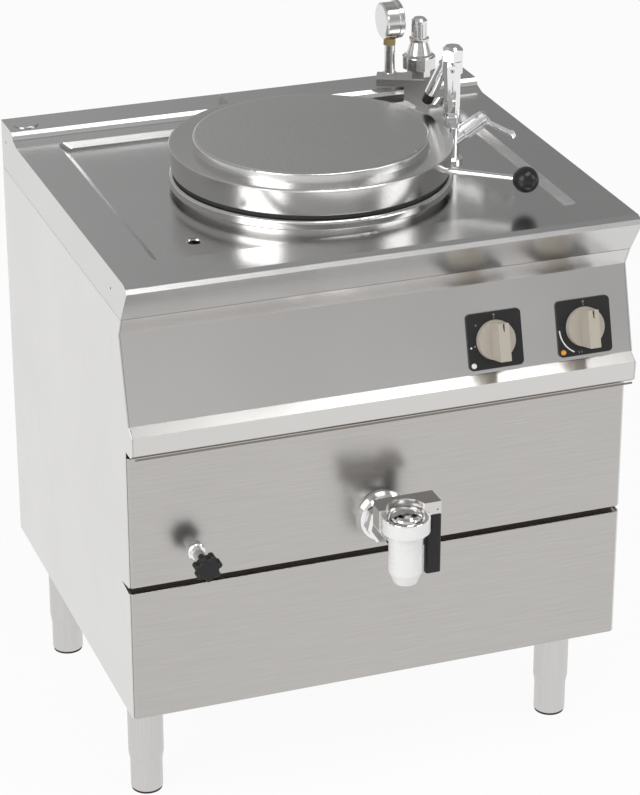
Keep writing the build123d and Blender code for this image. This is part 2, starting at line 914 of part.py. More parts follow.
bar_rod = prism(Circle(bar_radius), along_bar(bar_root), bar_direction, ball_reach - bar_root)
finish(bar_rod, "lid_handle_bar")

ball = Pos(*along_bar(ball_reach)) * Sphere(ball_radius)
hole_depth = ball_radius + 2.0
hole_start = along_bar(ball_reach - hole_depth)
ball -= prism(Circle(bar_radius + seat_gap), hole_start, bar_direction, hole_depth)
finish(ball, "lid_handle_ball")

# ---------------------------------------------------------------- lid hinge
hinge_pivot_y = y_front + hinge_y
arm_front = pan_y + lid_wall_radius - 20.0
arm_low = arm_top - arm_height
arm_x = (pan_x - arm_width / 2, pan_x + arm_width / 2)
arm = block(arm_x, (arm_front, arm_back), (arm_low, arm_top))
rear_edges = arm.edges().filter_by(Axis.X).sort_by(Axis.Y)[-2:]
arm = fillet(rear_edges, arm_corner)
arm -= block(
    (arm_x[0] + arm_sheet, arm_x[1] - arm_sheet),
    (arm_front - 1, arm_back - arm_sheet),
    (arm_low - 1, arm_top - arm_sheet),
)
arm -= block(
    (arm_x[0] + arm_sheet, arm_x[1] - arm_sheet),
    (arm_back - arm_sheet - 1.0, arm_back + 1.0),
    (arm_low - 1, hinge_level + lug_radius + arm_swing_gap),
)
arm -= turned(
    [
        (0, arm_low - 5.0),
        (lid_wall_radius, arm_low - 5.0),
        (lid_wall_radius, lid_bottom),
        (lid_radius - 1.5, lid_rim - lid_bead),
        (lid_radius, lid_rim - lid_bead + 1.0),
        (0, lid_rim),
    ],
    pan_centre,
)
pin_hole = Rot(0, 90, 0) * Cylinder(pin_radius + turn_gap, arm_width + 10)
arm -= Pos(pan_x, hinge_pivot_y, hinge_level) * pin_hole
finish(arm, "hinge_arm")

pin_start = (pan_x - arm_width / 2 - seam, hinge_pivot_y, hinge_level)
pin = prism(Circle(pin_radius), pin_start, (1, 0, 0), arm_width + 2 * seam)
for side in (-1, 1):
    pin_end = (pan_x + side * (arm_width / 2 + seam), hinge_pivot_y, hinge_level)
    pin += prism(Circle(pin_radius + pin_head), pin_end, (side, 0, 0), pin_head)
finish(pin, "hinge_pin")

bracket = block(
    (pan_x - arm_width / 2 + arm_sheet + lug_gap, pan_x + arm_width / 2 - arm_sheet - lug_gap),
    (bracket_front, bracket_back),
    (recess_floor, recess_floor + bracket_plate),
)
for side in (-1, 1):
    lug_x = pan_x + side * (arm_width / 2 - arm_sheet - lug_gap)
    lug = prism(Circle(lug_radius), (lug_x, hinge_pivot_y, hinge_level), (-side, 0, 0), lug_thickness)
    lug += block(
        sorted((lug_x, lug_x - side * lug_thickness)),
        (hinge_y - lug_radius, hinge_y + lug_radius),
        (recess_floor + bracket_plate, hinge_level),
    )
    bracket += lug
bracket -= Pos(pan_x, hinge_pivot_y, hinge_level) * Rot(0, 90, 0) * Cylinder(pin_radius, arm_width)
finish(bracket, "hinge_bracket")

# ---------------------------------------------------------------- safety group
console_rot = Rot(0, 0, console_angle)
console_bottom = console_top - console_height


def console_box(along, across, levels):
    """Box lying square with the plate, between two distances each way."""
    size = (along[1] - along[0], across[1] - across[0], levels[1] - levels[0])
    middle = on_console(sum(along) / 2, sum(across) / 2, sum(levels) / 2)
    return Pos(*middle) * console_rot * Box(*size)


console = console_box((0, console_length), (0, console_depth), (console_bottom, console_top))
console = fillet(console.edges().filter_by(Axis.Z), 2.0)
duct_along = (duct_start, duct_start + duct_length)
duct = console_box(duct_along, (duct_inset, duct_depth), (duct_bottom, console_bottom))
duct -= console_box(
    (duct_start + sheet, duct_along[1] - sheet),
    (duct_inset + sheet, duct_depth - sheet),
    (duct_bottom - 1, console_bottom - sheet),
)
ground = [
    (recess_front, recess_floor - 60.0),
    (recess_front, recess_floor),
    (recess_back, recess_floor),
    (recess_back + recess_back_slope, worktop_height),
    (cove_front + cove_width - lip_radius, worktop_height + cove_rise),
    (depth - upstand_depth, upstand_top - lip_radius),
    (depth, upstand_top),
    (depth, recess_floor - 60.0),
]
duct -= extrude(outline(ground), amount=half_width, both=True)
duct -= Pos(duct_middle[0], duct_middle[1], console_bottom) * Cylinder(steam_pipe_radius, 20)
console += duct
finish(console, "safety_console")

stem_at = on_console(gauge_along, gauge_across, console_top)
stem_top = console_top + stem_height
stem = Pos(*stem_at) * Cylinder(stem_radius, stem_height, align=stand_on)
stem_foot = RegularPolygon(stem_foot_flats / 2, 6, major_radius=False)
stem += Pos(*stem_at) * extrude(stem_foot, amount=stem_foot_height)
finish(stem, "gauge_stem")

gauge_bottom = gauge_level - gauge_radius
fitting = Pos(stem_at[0], stem_at[1], stem_top) * extrude(
    RegularPolygon(fitting_radius, 6, major_radius=False), amount=fitting_height
)
fitting_neck = gauge_bottom - stem_top - fitting_height + 1.0
fitting += Pos(stem_at[0], stem_at[1], stem_top + fitting_height) * Cylinder(
    fitting_radius - 3.0, fitting_neck, align=stand_on
)
gauge_axis = (stem_at[0] - gauge_length / 2, stem_at[1], gauge_level)
gauge_face = (1, 0, 0)
case_profile = [
    (0, 0),
    (gauge_radius - gauge_round, 0),
    (gauge_radius - gauge_round / 3, gauge_round / 3),
    (gauge_radius - gauge_step, gauge_round),
    (gauge_radius - gauge_step, gauge_length - gauge_bezel),
    (gauge_radius - gauge_step, gauge_length - 4.0),
    (glass_radius, gauge_length - 4.0),
    (gauge_bore, gauge_length - 4.0 - glass_thickness),
    (gauge_bore, gauge_back_wall),
    (0, gauge_back_wall),
]
case = turned(case_profile, gauge_axis, gauge_face)
fitting -= turned(
    [
        (0, 0),
        (gauge_radius - gauge_step, 0),
        (gauge_radius - gauge_step, gauge_length - gauge_bezel),
        (gauge_radius, gauge_length - gauge_bezel + 1.0),
        (gauge_radius, gauge_length),
        (0, gauge_length),
    ],
    gauge_axis,
    gauge_face,
)
finish(fitting, "gauge_fitting")
bezel_ring_profile = [
    (gauge_radius - gauge_step, gauge_length - gauge_bezel),
    (gauge_radius, gauge_length - gauge_bezel + 1.0),
    (gauge_radius, gauge_length - 1.5),
    (gauge_radius - 1.5, gauge_length),
    (gauge_bore, gauge_length),
    (gauge_bore, gauge_length - 1.5),
    (gauge_radius - gauge_step, gauge_length - 1.5),
]
case += turned(bezel_ring_profile, gauge_axis, gauge_face)
finish(case, "gauge_case")


def in_gauge(radius, start, length):
    """Disc on the gauge's axis, its start counted from the back of the case."""
    origin = (gauge_axis[0] + start, gauge_axis[1], gauge_axis[2])
    return prism(Circle(radius), origin, gauge_face, length)


glass_start = gauge_length - 1.5 - glass_thickness
finish(in_gauge(glass_radius - seat_gap, glass_start, glass_thickness), "gauge_glass")
dial = in_gauge(gauge_bore - seat_gap, gauge_back_wall, dial_thickness)
dial += in_gauge(arbor_radius, gauge_back_wall + dial_thickness, needle_lift + needle_thickness + 1.6)
finish(dial, "gauge_dial")
needle_start = gauge_back_wall + dial_thickness + needle_lift
needle_frame = Plane(
    origin=(gauge_axis[0] + needle_start, gauge_axis[1], gauge_axis[2]), x_dir=(0, 1, 0), z_dir=(1, 0, 0)
)
needle = extrude(
    needle_frame * (Rot(0, 0, needle_zero) * Pos((needle_length - needle_tail) / 2, 0)
                    * SlotOverall(needle_length + needle_tail, needle_width)),
    amount=needle_thickness,
)
needle += in_gauge(needle_hub, needle_start, needle_thickness + 1.0)
needle -= in_gauge(arbor_radius + turn_gap, needle_start - 1, 6.0)
finish(needle, "gauge_needle")

valve_at = on_console(valve_along, valve_across, console_top)
valve_x, valve_y = valve_at[0], valve_at[1]


def at_valve(points):
    """Turned piece on the valve's axis, heights counted from the console."""
    return turned(points, valve_at)


hex_top = valve_hex_height
nut_low = hex_top + valve_groove_height
nut_high = nut_low + valve_nut_height
cone_high = nut_high + valve_cone_height
valve_hex = Rot(0, 0, console_angle) * RegularPolygon(valve_hex_flats / 2, 6, major_radius=False)
base = Pos(*valve_at) * extrude(valve_hex, amount=valve_hex_height)
base += at_valve([
    (0, hex_top),
    (valve_groove_radius, hex_top),
    (valve_groove_radius, nut_low),
    (valve_nut_radius - 3.0, nut_low),
    (valve_nut_radius - 3.0, nut_high),
    (valve_cone_radius, nut_high + 2.0),
    (valve_neck_radius, cone_high - valve_shoulder_height),
    (valve_shoulder_radius, cone_high - valve_shoulder_height),
    (valve_shoulder_radius, cone_high),
    (valve_stem_radius, cone_high),
    (valve_stem_radius, cone_high + valve_stem_height),
    (0, cone_high + valve_stem_height),
])

ring_nut = Pos(valve_x, valve_y, console_top + nut_low + 2.0) * extrude(
    RegularPolygon(valve_nut_radius + 0.8, valve_nut_sides), amount=valve_nut_height - 5.0
)
base += ring_nut
finish(base, "safety_valve_body")

cap_low = cone_high + seat_gap
lever_cap = at_valve([
    (valve_stem_radius + turn_gap, cap_low),
    (valve_cap_radius - 1.0, cap_low),
    (valve_cap_radius, cap_low + 1.0),
    (valve_cap_radius, cap_low + valve_cap_height - 4.0),
    (valve_cap_radius - 4.0, cap_low + valve_cap_height),
    (0, cap_low + valve_cap_height),
    (0, cone_high + valve_stem_height + 1.0),
    (valve_stem_radius + turn_gap, cone_high + valve_stem_height + 1.0),
])
for place in PolarLocations(valve_cap_radius + 1.2, valve_cap_ribs):
    lever_cap -= Pos(valve_x, valve_y, console_top + cap_low) * place * Cylinder(
        2.0, valve_cap_height - 9.0, align=stand_on
    )
finish(lever_cap, "safety_valve_cap")

# ---------------------------------------------------------------- water mixer
mixer_at = (mixer_x, y_front + mixer_y, 0)
ring_low = column_top - spout_ring_height - 1.0
ring_high = column_top - 1.0
column = turned(
    [
        (0, recess_floor - column_tail),
        (column_tail_radius, recess_floor - column_tail),
        (column_tail_radius, recess_floor),
        (column_foot_radius, recess_floor),
        (column_foot_radius, recess_floor + column_foot_height - 3.0),
        (column_foot_radius - 3.0, recess_floor + column_foot_height),
        (column_radius, recess_floor + column_foot_height),
        (column_radius, ring_low - seat_gap),
        (cap_neck_radius, ring_low - seat_gap),
        (cap_neck_radius, column_top),
        (0, column_top),
    ],
    mixer_at,
)
hot_reach = Vector(25.0, -63.0, -7.0)
hot_angle = radians(hot_tilt)
hot_direction = (cos(hot_angle), 0, sin(hot_angle))


def on_hot(distance):
    """Point on the hot valve's axis, from the column's axis."""
    return (
        mixer_x + distance * cos(hot_angle),
        y_front + mixer_y,
        hot_level + distance * sin(hot_angle),
    )


cold_turn_angle = radians(cold_turn)
cold_direction = (cos(cold_turn_angle), sin(cold_turn_angle), 0)


def on_cold(distance, level=cold_level):
    """Point on the cold valve's axis, from the column's axis."""
    return (
        mixer_x + distance * cos(cold_turn_angle),
        y_front + mixer_y + distance * sin(cold_turn_angle),
        level,
    )


hot_body = turned(
    [
        (0, 5.0),
        (hot_radius - 1.5, 5.0),
        (hot_radius - 1.5, 22.0),
        (hot_radius, 23.0),
        (hot_radius, hot_hub_start - 1.0),
        (hot_spindle, hot_hub_start - 1.0),
        (hot_spindle, hot_length - 2.0),
        (0, hot_length - 2.0),
    ],
    on_hot(0),
    hot_direction,
)
grip_frame = Plane(origin=on_hot(25.0), z_dir=hot_direction)
for place in PolarLocations(hot_radius + 0.9, hot_ribs):
    hot_body -= grip_frame * place * Cylinder(1.6, hot_hub_start - 30.0, align=stand_on)
cold_body = turned(
    [
        (0, 5.0),
        (cold_radius, 5.0),
        (cold_radius, cold_hub_start - 1.0),
        (hot_spindle, cold_hub_start - 1.0),
        (hot_spindle, cold_length - 2.0),
        (0, cold_length - 2.0),
    ],
    on_cold(0),
    cold_direction,
)
column += hot_body + cold_body
cap_hex = Pos(mixer_x, y_front + mixer_y, column_top) * extrude(
    Rot(0, 0, 12) * RegularPolygon(cap_flats / 2, 6, major_radius=False), amount=cap_height
)
cap_hex &= turned(
    [
        (0, column_top),
        (cap_flats * 0.577 - 1.0, column_top),
        (cap_flats * 0.577, column_top + 1.0),
        (cap_flats * 0.577, column_top + cap_height - cap_chamfer),
        (cap_flats / 2 - 4.0, column_top + cap_height),
        (0, column_top + cap_height),
    ],
    mixer_at,
)
column += cap_hex
clamp_nut = RegularPolygon(15.0, 6, major_radius=False)
column += Pos(mixer_x, y_front + mixer_y, recess_floor - sheet) * extrude(clamp_nut, amount=-8.0)
finish(column, "mixer_column")

root_level = ring_high - spout_root_drop
spout_flat = hypot(spout_dx, spout_dy)
spout_side = (spout_dx / spout_flat, spout_dy / spout_flat)
spout_start = (
    mixer_x + spout_root * spout_side[0],
    y_front + mixer_y + spout_root * spout_side[1],
    root_level,
)
spout_run = hypot(spout_flat - spout_root, spout_drop)
spout_lean = (spout_flat - spout_root) / spout_run
spout_direction = (spout_side[0] * spout_lean, spout_side[1] * spout_lean, -spout_drop / spout_run)
tip_start = spout_run - spout_tip_length
spout = turned(
    [
        (cap_neck_radius + turn_gap, ring_low),
        (column_radius + 3.0, ring_low),
        (column_radius + 3.0, ring_high),
        (cap_neck_radius + turn_gap, ring_high),
    ],
    mixer_at,
)
neck = prism(Circle(spout_radius), spout_start, spout_direction, tip_start)
neck -= Pos(mixer_x, y_front + mixer_y, ring_high) * Cylinder(cap_neck_radius + turn_gap, 2 * spout_run)
neck -= Pos(mixer_x, y_front + mixer_y, ring_high) * Cylinder(40, 30, align=stand_on)
spout += neck
spout -= Pos(mixer_x, y_front + mixer_y, ring_low) * Cylinder(column_radius + seat_gap, 100, align=hang_from)
bore_start = 10.0
spout -= turned(
    [(0, bore_start), (spout_bore, bore_start), (spout_bore, tip_start + 1), (0, tip_start + 1)],
    spout_start,
    spout_direction,
)
finish(spout, "mixer_spout")
tip = turned(
    [
        (spout_bore - 1.2, tip_start - spout_tip_socket),
        (spout_bore, tip_start - spout_tip_socket),
        (spout_bore, tip_start),
        (spout_tip_radius, tip_start),
        (spout_tip_radius, spout_run - 1.5),
        (spout_tip_radius - 1.5, spout_run),
        (spout_bore - 1.2, spout_run),
    ],
    spout_start,
    spout_direction,
)
finish(tip, "mixer_spout_tip")


hub_start = Vector(*on_hot(hot_hub_start + lever_hub_height / 2))
hot_along = hot_reach.normalized()
hot_hub = prism(Circle(hot_hub_radius), on_hot(hot_hub_start), hot_direction, lever_hub_height)
arm_start = hub_start + hot_along * (hot_spindle + 2.0)
arm_end = hub_start + hot_reach
arm_plane = Plane(origin=arm_start, z_dir=hot_along, x_dir=hot_direction)
arm_section = arm_plane * RectangleRounded(lever_thickness, lever_width, lever_corner)
hot_lever = hot_hub + extrude(arm_section, amount=(arm_end - arm_start).length)
hook_plane = Plane(origin=arm_end, z_dir=hot_along.cross(Vector(*hot_direction)))
hot_lever += hook_plane * Cylinder(lever_hook, lever_width)
hot_lever -= prism(Circle(hot_spindle + turn_gap), on_hot(0), hot_direction, hot_length)
finish(hot_lever, "hot_lever")
hot_cap = turned(
    [
        (0, hot_length - 2.0),
        (hot_hub_radius - 1.5, hot_length - 2.0),
        (hot_hub_radius - 3.5, hot_length),
        (0, hot_length),
    ],
    on_hot(0),
    hot_direction,
)

paddle_start = on_cold(cold_hub_start + (lever_hub_height - paddle_thickness) / 2)
paddle_plane = Plane(origin=paddle_start, x_dir=(0, 0, 1), z_dir=cold_direction)
with BuildSketch(paddle_plane) as paddle:
    Polygon(
        (0, -paddle_waist),
        (cold_lever_length, -paddle_radius),
        (cold_lever_length, paddle_radius),
        (0, paddle_waist),
        align=None,
    )
    with Locations((cold_lever_length, 0)):
        Circle(paddle_radius)
        Circle(paddle_hole, mode=Mode.SUBTRACT)
    with Locations((cold_lever_length - 28.0, 0)):
        SlotOverall(26.0, 4.0, mode=Mode.SUBTRACT)
cold_lever = extrude(paddle.sketch, amount=paddle_thickness)
cold_lever += prism(Circle(cold_hub_radius), on_cold(cold_hub_start), cold_direction, lever_hub_height)
cold_lever -= prism(Circle(hot_spindle + turn_gap), on_cold(0), cold_direction, cold_length)
finish(cold_lever, "cold_lever")
cap_frame = Plane(
    origin=on_cold(cold_hub_start + lever_hub_height + 1.0), x_dir=(0, 0, 1), z_dir=cold_direction
)
cold_cap = extrude(cap_frame * Rectangle(cold_cap_width, cold_cap_width), amount=cold_cap_length)
cold_cap = chamfer(cold_cap.edges(), 1.0)
cold_cap -= prism(Circle(hot_spindle), on_cold(0), cold_direction, cold_length - 2.0)
finish(Compound(children=[hot_cap, cold_cap]), "mixer_valve_caps")

# ---------------------------------------------------------------- draw-off tap
tap_at = (tap_x, tap_y, 0)
flange_front = tray_front - tap_flange_depth
nut_front = flange_front - tap_nut_depth
pipe_hole = tap_pipe_radius + seat_gap
on_panel = (tap_x, panel_face, tap_level)
escutcheon = turned(
    [
        (pipe_hole, 0),
        (tap_flange_radius, 0),
        (tap_flange_radius, 3.0),
        (tap_flange_radius - 3.0, tap_flange_depth - 3.0),
        (tap_flange_radius - 8.0, tap_flange_depth),
        (pipe_hole, tap_flange_depth),
    ],
    on_panel,
    (0, -1, 0),
)
finish(escutcheon, "tap_flange")

octagon = RegularPolygon(tap_nut_radius, tap_nut_flats, rotation=10)
tap_nut = prism(octagon, (tap_x, y_front + flange_front, tap_level), (0, -1, 0), tap_nut_depth)
nut_rim = tap_nut.edges().filter_by(lambda e: abs(e.center().Y - y_front - nut_front) < 0.01)
tap_nut = chamfer(nut_rim, 4.0)
tap_nut -= prism(Circle(pipe_hole), on_panel, (0, -1, 0), 60.0)

pipe_back = y_front + pan_y - pan_radius - 0.5
pipe_run = pipe_back - y_front - nut_front
drain_pipe = prism(Circle(tap_pipe_radius), (tap_x, pipe_back, tap_level), (0, -1, 0), pipe_run)
drain_pipe -= Pos(pan_x, y_front + pan_y, tap_level) * Cylinder(pan_radius + pan_wall, 6 * tap_pipe_radius)
drain_pipe -= prism(Circle(tap_bore), (tap_x, pipe_back + 5, tap_level), (0, -1, 0), pipe_run + 10.0)
pan += drain_pipe
finish(pan, "inner_pan")

barrel = turned(
    [
        (0, tap_spout_bottom + 2.0),
        (tap_spout_radius - 1.0, tap_spout_bottom + 2.0),
        (tap_barrel_outer, tap_cone_top + 6.0),
        (tap_barrel_outer, tap_sleeve_cap_bottom + 8.0),
        (tap_barrel_outer + 6.0, tap_sleeve_cap_bottom + 10.0),
        (tap_barrel_outer + 6.0, head_level - seat_gap),
        (0, head_level - seat_gap),
    ],
    tap_at,
)
neck_length = tap_axis + nut_front
barrel += prism(Circle(tap_neck_radius), (tap_x, y_front + nut_front, tap_level), (0, -1, 0), neck_length)
plug_shape = [
    (0, plug_bottom),
    (plug_bottom_radius, plug_bottom),
    (plug_top_radius, head_level - seat_gap),
    (0, head_level - seat_gap),
]
barrel -= turned([(r + (turn_gap if r else 0), z) for r, z in plug_shape], tap_at)
barrel -= prism(Circle(plug_port), (tap_x, y_front + nut_front + 1, tap_level), (0, -1, 0), neck_length)
barrel -= Pos(tap_x, tap_y, plug_bottom) * Cylinder(plug_port, 120)
barrel += tap_nut
finish(barrel, "tap_body")

plug = turned(plug_shape, tap_at)
plug -= prism(Circle(plug_port), (tap_x, tap_y, tap_level), (-1, 0, 0), 40.0)
plug -= Pos(tap_x, tap_y, tap_level) * Cylinder(plug_port, 60.0, align=hang_from)
plug -= Pos(tap_x, tap_y, tap_level) * Sphere(plug_port)

tap_sleeve = turned(
    [
        (tap_barrel_outer + seat_gap, tap_cone_top + 4.0),
        (tap_sleeve_end_radius - 1.5, tap_spout_bottom + 1.0),
        (tap_sleeve_end_radius - 1.5, tap_spout_bottom),
        (tap_sleeve_end_radius, tap_spout_bottom),
        (tap_sleeve_radius, tap_cone_top + 4.0),
        (tap_sleeve_radius, tap_sleeve_cap_bottom),
        (tap_sleeve_cap_radius, tap_sleeve_cap_bottom),
        (tap_sleeve_cap_radius, tap_sleeve_cap_top),
        (head_radius + seam, tap_sleeve_cap_top),
        (head_radius + seam, head_level),
        (tap_barrel_outer + 6.0 + seat_gap, head_level),
        (tap_barrel_outer + 6.0 + seat_gap, tap_sleeve_cap_bottom + 9.0),
        (tap_barrel_outer + seat_gap, tap_sleeve_cap_bottom + 7.0),
    ],
    tap_at,
)
tap_sleeve -= prism(Circle(tap_neck_radius + seat_gap), (tap_x, tap_y, tap_level), (0, 1, 0), 60.0)
finish(tap_sleeve, "tap_sleeve")

head_disc = turned(
    [
        (0, head_level + seat_gap),
        (head_radius, head_level + seat_gap),
        (head_radius, head_level + head_height - 1.0),
        (head_radius - 0.8, head_level + head_height),
        (head_radius - 5.0, head_level + head_height),
        (head_radius - 9.0, head_level + head_height - 1.0),
        (0, head_level + head_height - 1.0),
    ],
    tap_at,
)
head_disc += Pos(tap_x, tap_y, head_level - seat_gap) * Cylinder(
    plug_top_radius - 4.0, 2 * seat_gap, align=stand_on
)
plug += head_disc
finish(plug, "tap_plug")

lever_low = head_level + head_height
lever_high = lever_low + lever_height
lever_rear = tap_y + lever_back


def lever_outline(inset):
    """Top view of the lever's cover, cut round for the tap's head."""
    left = tap_x - lever_left + inset
    right = tap_x + lever_reach - inset
    rear = lever_rear - inset
    front = tap_y + lever_front + inset
    corner = lever_chamfer + 0.6 * inset
    with BuildSketch() as face:
        with BuildLine():
            Polyline(
                (left, front),
                (left, rear - corner),
                (left + corner, rear),
                (right, rear),
                (right, front),
                close=True,
            )
        make_face()
        with Locations((tap_x, tap_y)):
            Circle(lever_cut_radius + inset, mode=Mode.SUBTRACT)
    return face.sketch


cover = Pos(0, 0, lever_low) * extrude(lever_outline(0.0), amount=lever_height)
inside = extrude(lever_outline(lever_sheet), amount=lever_height - lever_sheet + 1.0)
cover -= Pos(0, 0, lever_low - 1.0) * inside
tab_bottom = lever_high - lever_tab_height
cover += block(
    (tap_x + lever_tab_left, tap_x + lever_reach),
    (lever_front - tap_axis, lever_front - tap_axis + lever_sheet),
    (tab_bottom, lever_low),
)
cover += block(
    (tap_x - lever_left, tap_x - lever_left + lever_sheet),
    (lever_front - tap_axis, lever_back - lever_chamfer - tap_axis),
    (lever_low - lever_skirt, lever_low),
)
screw_at = (tap_x + lever_reach - 6.0, tap_y + lever_front - 1.0, tab_bottom + 8.0)
cover -= prism(Circle(1.5), screw_at, (0, 1, 0), lever_sheet + 2.0)
finish(cover, "tap_lever")

grip_right = tap_x + lever_reach + 0.5
grip_front = lever_front - tap_axis - 1.5
grip_depth = (grip_front, grip_front + grip_thickness)
grip = block((grip_right - grip_width, grip_right), grip_depth, (tab_bottom - grip_length, tab_bottom))
grip -= block(
    (grip_right - grip_width - 1.0, grip_right - grip_neck_width),
    (grip_front - 1.0, grip_front + grip_thickness + 1.0),
    (tab_bottom - grip_neck_height, tab_bottom + 1.0),
)
upright = grip.edges().filter_by(Axis.Z).filter_by(lambda e: e.length > lever_tab_height)
grip = fillet(upright, grip_round)
grip += block(
    (grip_right - grip_neck_width + 3.0, grip_right - 4.0),
    (lever_front - tap_axis + lever_sheet, grip_depth[1] - 1.0),
    (tab_bottom, tab_bottom + 4.0),
)
finish(grip, "tap_grip")

# ---------------------------------------------------------------- level cock
cock_at = (cock_x, panel_face, cock_level)
bonnet = turned(
    [
        (0, -cock_tail),
        (cock_tail_radius, -cock_tail),
        (cock_tail_radius, 0),
        (cock_collar_radius, 0),
        (cock_collar_radius, cock_collar_depth - 2.0),
        (cock_collar_radius - 2.0, cock_collar_depth),
        (cock_bonnet_radius, cock_collar_depth),
        (cock_bonnet_radius, cock_bonnet_length),
        (star_stem_radius + turn_gap, cock_bonnet_length),
        (star_stem_radius + turn_gap, cock_bonnet_length - star_stem_length),
        (0, cock_bonnet_length - star_stem_length),
    ],
    cock_at,
    (0, -1, 0),
)
star_start = cock_bonnet_length + seat_gap + 6.0
star_frame = Plane(origin=(cock_x, panel_face - star_start, cock_level), z_dir=(0, -1, 0))
with BuildSketch(star_frame) as star:
    Circle(star_radius)
    with PolarLocations(star_radius, star_lobes):
        Circle(star_lobe_radius)
    with PolarLocations(star_radius + 2.6, star_lobes, start_angle=180 / star_lobes):
        Circle(2.6, mode=Mode.SUBTRACT)
star_knob = extrude(star.sketch, amount=star_depth)
front_rim = star_knob.edges().group_by(Axis.Y)[0]
star_knob = chamfer(front_rim, 1.5)
star_foot = (cock_x, panel_face - cock_bonnet_length - seat_gap, cock_level)
star_knob += prism(Circle(cock_bonnet_radius - 1.0), star_foot, (0, -1, 0), 6.0)
spindle_start = (cock_x, panel_face - cock_bonnet_length + star_stem_length - 1.0, cock_level)
star_knob += prism(Circle(star_stem_radius), spindle_start, (0, -1, 0), star_stem_length + 5.0)
finish(star_knob, "level_star_knob")

level_pipe = tube(
    [
        (cock_x, panel_face + cock_tail, cock_level),
        (cock_x, y_front + pan_y - level_pipe_offset, cock_level),
        (pan_x - jacket_radius / 2, y_front + pan_y - level_pipe_offset, cock_level),
    ],
    16.0,
    level_pipe_radius,
    level_pipe_bore,
)
level_pipe -= Pos(pan_x, y_front + pan_y, cock_level) * Cylinder(jacket_radius, 60)
bonnet += level_pipe
finish(bonnet, "level_cock")

# ---------------------------------------------------------------- controls
lamp_level = control_down + lamp_down
bezels = []
for x in control_xs:
    plate_face = on_fascia(x, control_down) * RectangleRounded(bezel_width, bezel_height, bezel_corner)
    plate = extrude(plate_face, amount=bezel_thickness)
    plate -= extrude(on_fascia(x, control_down) * Circle(switch_bush_radius + hole_gap), amount=6, both=True)
    lamp_hole = on_fascia(x - lamp_across, lamp_level) * Circle(lamp_radius - 1.0)
    plate -= extrude(lamp_hole, amount=6, both=True)
    bezels.append(plate)
finish(Compound(children=bezels), "control_bezels")
switches = []
for x, name in zip(control_xs, ("thermostat", "selector")):
    rim_plane = on_fascia(x, control_down, bezel_thickness + knob_lift)
    knob = extrude(rim_plane * Circle(knob_radius), amount=knob_skirt, taper=6)
    grip_box = Box(knob_grip_width, 2 * knob_radius - 4.0, knob_height)
    knob += rim_plane * (Pos(0, 0, knob_height / 2) * grip_box)
    knob -= rim_plane * (Pos(0, knob_radius - 3.0, knob_height) * Box(knob_notch, 12.0, 4.0))
    stem_base = on_fascia(x, control_down, -knob_stem_length)
    knob += extrude(stem_base * Circle(knob_stem_radius), amount=2 * knob_stem_length)
    finish(knob, f"{name}_knob")
    switch_back = on_fascia(x, control_down, -sheet - switch_depth)
    switch = extrude(switch_back * Rectangle(switch_size, switch_size), amount=switch_depth)
    switch += extrude(on_fascia(x, control_down, -sheet) * Circle(switch_bush_radius), amount=sheet + 2.0)
    stem_hole = on_fascia(x, control_down, -knob_stem_length - 1.0) * Circle(knob_stem_radius + turn_gap)
    switch -= extrude(stem_hole, amount=40.0)
    switches.append(switch)
finish(Compound(children=switches), "rotary_switches")
for x, name in zip(control_xs, ("power_lamp", "heating_lamp")):
    lens_plane = on_fascia(x - lamp_across, lamp_level, bezel_thickness)
    lamp = extrude(lens_plane * Circle(lamp_radius), amount=lamp_height, taper=20)
    tail_plane = on_fascia(x - lamp_across, lamp_level, -lamp_stem)
    lamp += extrude(tail_plane * Circle(lamp_radius - 1.0 - turn_gap), amount=lamp_stem + bezel_thickness)
    finish(lamp, name)

# ---------------------------------------------------------------- wiring and inlet
terminals = block(
    (gland_x - terminal_width / 2 - 30.0, gland_x + terminal_width / 2 - 30.0),
    (gland_y - 20.0 - terminal_depth, gland_y - 20.0),
    (casing_bottom + 2 * sheet, casing_bottom + 2 * sheet + terminal_height),
)
for step in range(5):
    slot_x = gland_x - 30.0 + (step - 2) * 22.0
    terminals -= block(
        (slot_x - 5.0, slot_x + 5.0),
        (gland_y - 30.0 - terminal_depth, gland_y - 60.0),
        (casing_bottom + 2 * sheet + 20.0, casing_bottom + 2 * sheet + terminal_height + 1),
    )
finish(terminals, "terminal_block")
gland_root = (gland_x, y_front + gland_y, casing_bottom + sheet)
gland = turned(
    [
        (gland_bore, -16.0),
        (gland_radius, -16.0),
        (gland_radius, 0),
        (gland_radius + 3.0, 0),
        (gland_radius + 3.0, 5.0),
        (gland_radius, 5.0),
        (gland_radius, gland_reach),
        (gland_bore, gland_reach),
    ],
    gland_root,
    (0, 0, -1),
)
gland += Pos(gland_x, y_front + gland_y, casing_bottom + 2 * sheet) * extrude(
    RegularPolygon(gland_nut_flats / 2, 6, major_radius=False) - Circle(gland_radius), amount=6.0
)
finish(gland, "cable_gland")
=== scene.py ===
"""Looks of the steam jacketed kettle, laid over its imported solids.  Metres, +Z up, front towards -Y."""
import math

